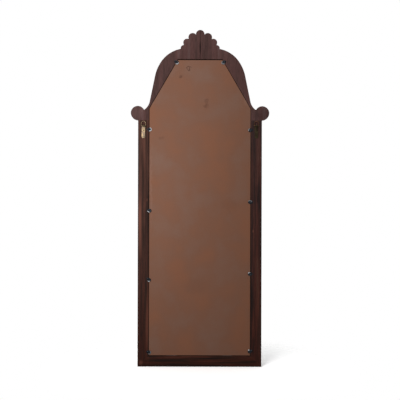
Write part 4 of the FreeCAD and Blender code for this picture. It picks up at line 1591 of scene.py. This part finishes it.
# Painted shade on the strap: across the top of its rolled loop and in a strip along one long edge.
STRAP_PAINTED_SHADE = (
    Spot(282, -19, 40, 11, 0.95),
    Spot(272, -52, 6, 60, 0.7),
)
STILE = {"grain": Grain.UPRIGHT, "wear_and_sheen_spots": OUTER_RUBS, "dark_marks_and_shade": DARK_BANDS}
# Each stile's sheen tone and shares paint a painted sheen, greyer and lighter towards the top.
WOODS = {
    "stile_right": StainedWood(
        "stained mahogany, right stile",
        **STILE,
        tones=("#110806", "#27130c", "#38170e", "#3b1d13"),
        sheen_tone="#543930",
        sheen_share=(0.0, 0.62),
    ),
    "stile_left": StainedWood(
        "stained mahogany, left stile",
        **STILE,
        tones=("#150a08", "#2c150f", "#411c13", "#42271d"),
        sheen_tone="#413231",
        sheen_share=(0.0, 0.5),
    ),
    "bottom_rail": StainedWood(
        "stained mahogany, bottom rail",
        Grain.LEVEL,
        tones=("#170b08", "#2a150d", "#3f1c12", "#45271e"),
        wear_and_sheen_spots=OUTER_RUBS,
    ),
}
# The shoulders' greyer tones are partly the wood's own colour and partly a painted sheen.
SHOULDER_WOOD = StainedWood(
    "stained mahogany, shoulders, greyed by painted sheen",
    Grain.UPRIGHT,
    tones=("#3a2724", "#4a3431", "#553936", "#5f4a48"),
    worn_and_sheen="#7f6360",
    band_mm=34.0,
    contrast=0.7,
    wear_and_sheen_spots=(PAINTED_SHEEN_EAR,),
    dark_marks_and_shade=(MIDDLE_CRACK, PAINTED_SHADE_EAR),
)
CARVED_WOOD = StainedWood(
    "carved and waxed mahogany",
    Grain.UPRIGHT,
    tones=("#22120e", "#3c1f18", "#532a20", "#5f382c"),
    band_mm=30.0,
    contrast=0.7,
    roughness=(0.32, 0.5),
    gloss=0.35,
)
METALS = {
    "black": AgedMetal("blackened pressed steel", "#2b2d31", "#17171a", 6.0, (0.25, 0.4)),
    # These two steels are painted glints for the clips' rims, a bright one and a dimmer one.
    "lightened": AgedMetal("pressed steel rubbed bright", "#b4b6b8", "#85878a", 5.0, (0.25, 0.4)),
    "dull": AgedMetal("pressed steel rubbed and tarnished", "#74767a", "#54565a", 5.0, (0.3, 0.45)),
    "strap": AgedMetal(
        "handled brass strap", "#988262", "#75665a", 12.0, (0.35, 0.5), tarnished=STRAP_PAINTED_SHADE
    ),
    # A darker copy of the strap's brass as painted shade, for the strap and the screws on the -X side.
    "tarnished": AgedMetal("tarnished brass strap", "#332d1f", "#251d16", 14.0, (0.5, 0.62)),
    "ring": AgedMetal("drawn brass ring", "#7d6852", "#625143", 7.0, (0.3, 0.45)),
    # A darker copy of the ring's brass as painted shade, for the ring on the -X side.
    "brown_ring": AgedMetal("drawn brass ring in painted shade", "#54392b", "#3d281f", 7.0, (0.4, 0.55)),
    "zinc": AgedMetal("dull zinc-plated screw", "#8d8068", "#685c4c", 3.0, (0.35, 0.5)),
}
HARDWARE = (
    ("hanger_strap_right", "frame", "brass", "strap"),
    ("hanger_strap_left", "frame", "brass", "tarnished"),
    ("hanger_ring_right", "hanger_ring_right", "ring_steel", "ring"),
    ("hanger_ring_left", "hanger_ring_left", "ring_steel", "brown_ring"),
    ("clip_screws", "frame", "screw_steel", "black"),
    ("hanger_screws", "frame", "screw_steel", "zinc", "tarnished"),
)
BEECH = ("planed beech dowel", "#c39a6b", "#a67c50", 1.5, 0.6)
INNER_FINISHES = {
    "mirror_glass": SilveredGlass("silvered float glass"),
    "cushion_sheet": PlainStuff("grey foam sheet", "#8b8d90", "#6d6f73", 1.5, 0.9),
    "setting_blocks": PlainStuff("black rubber", "#26262a", "#18181a", 4.0, 0.75),
    "crown_dowels": PlainStuff(*BEECH, (0.05, 1.0, 1.0)),
    "shoulder_dowels": PlainStuff(*BEECH, (1.0, 1.0, 0.05)),
    "mitre_splines": PlainStuff("sawn birch spline", "#c9a87c", "#ad8a5e", 1.5, 0.65, (0.2, 1.0, 0.2)),
}


def main() -> None:
    """Build, dress and light the mirror."""
    logging.basicConfig(level=logging.INFO, format="%(name)s: %(message)s")
    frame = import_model()
    cad_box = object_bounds()
    bpy.ops.object.select_all(action="DESELECT")

    carving = CARVED_WOOD.make()
    boards = FrameBoards(frame, Pane.of(frame["nodes"]["mirror_glass"]), carving)
    for node, wood in WOODS.items():
        boards.build(node, wood.make())
    shoulder = SHOULDER_WOOD.make()
    for node in ("shoulder_left", "shoulder_right"):
        boards.build(node, shoulder)
    PaneStack(frame, Hardboard("tempered hardboard", BOARD_STAINS, BOARD_SCUFFS).make()).build()

    ShellCrest(carving).build()
    FrontCarving(frame, carving).build()
    SightBeads(frame, carving).build()

    metals = {key: metal.make() for key, metal in METALS.items()}
    TurnClips(frame, metals["black"], metals["lightened"], metals["dull"]).build()
    hangers = Hangers(frame)
    for node, body, slot, *keys in HARDWARE:
        hangers.build(node, body, slot, *(metals[key] for key in keys))
    for node, finish in INNER_FINISHES.items():
        solid = frame["nodes"][node]
        solid.data.materials.clear()
        solid.data.materials.append(finish.make())
        LOG.info("%s keeps its solid", node)

    Studio(cad_box[0].z).build()


if __name__ == "__main__":
    main()
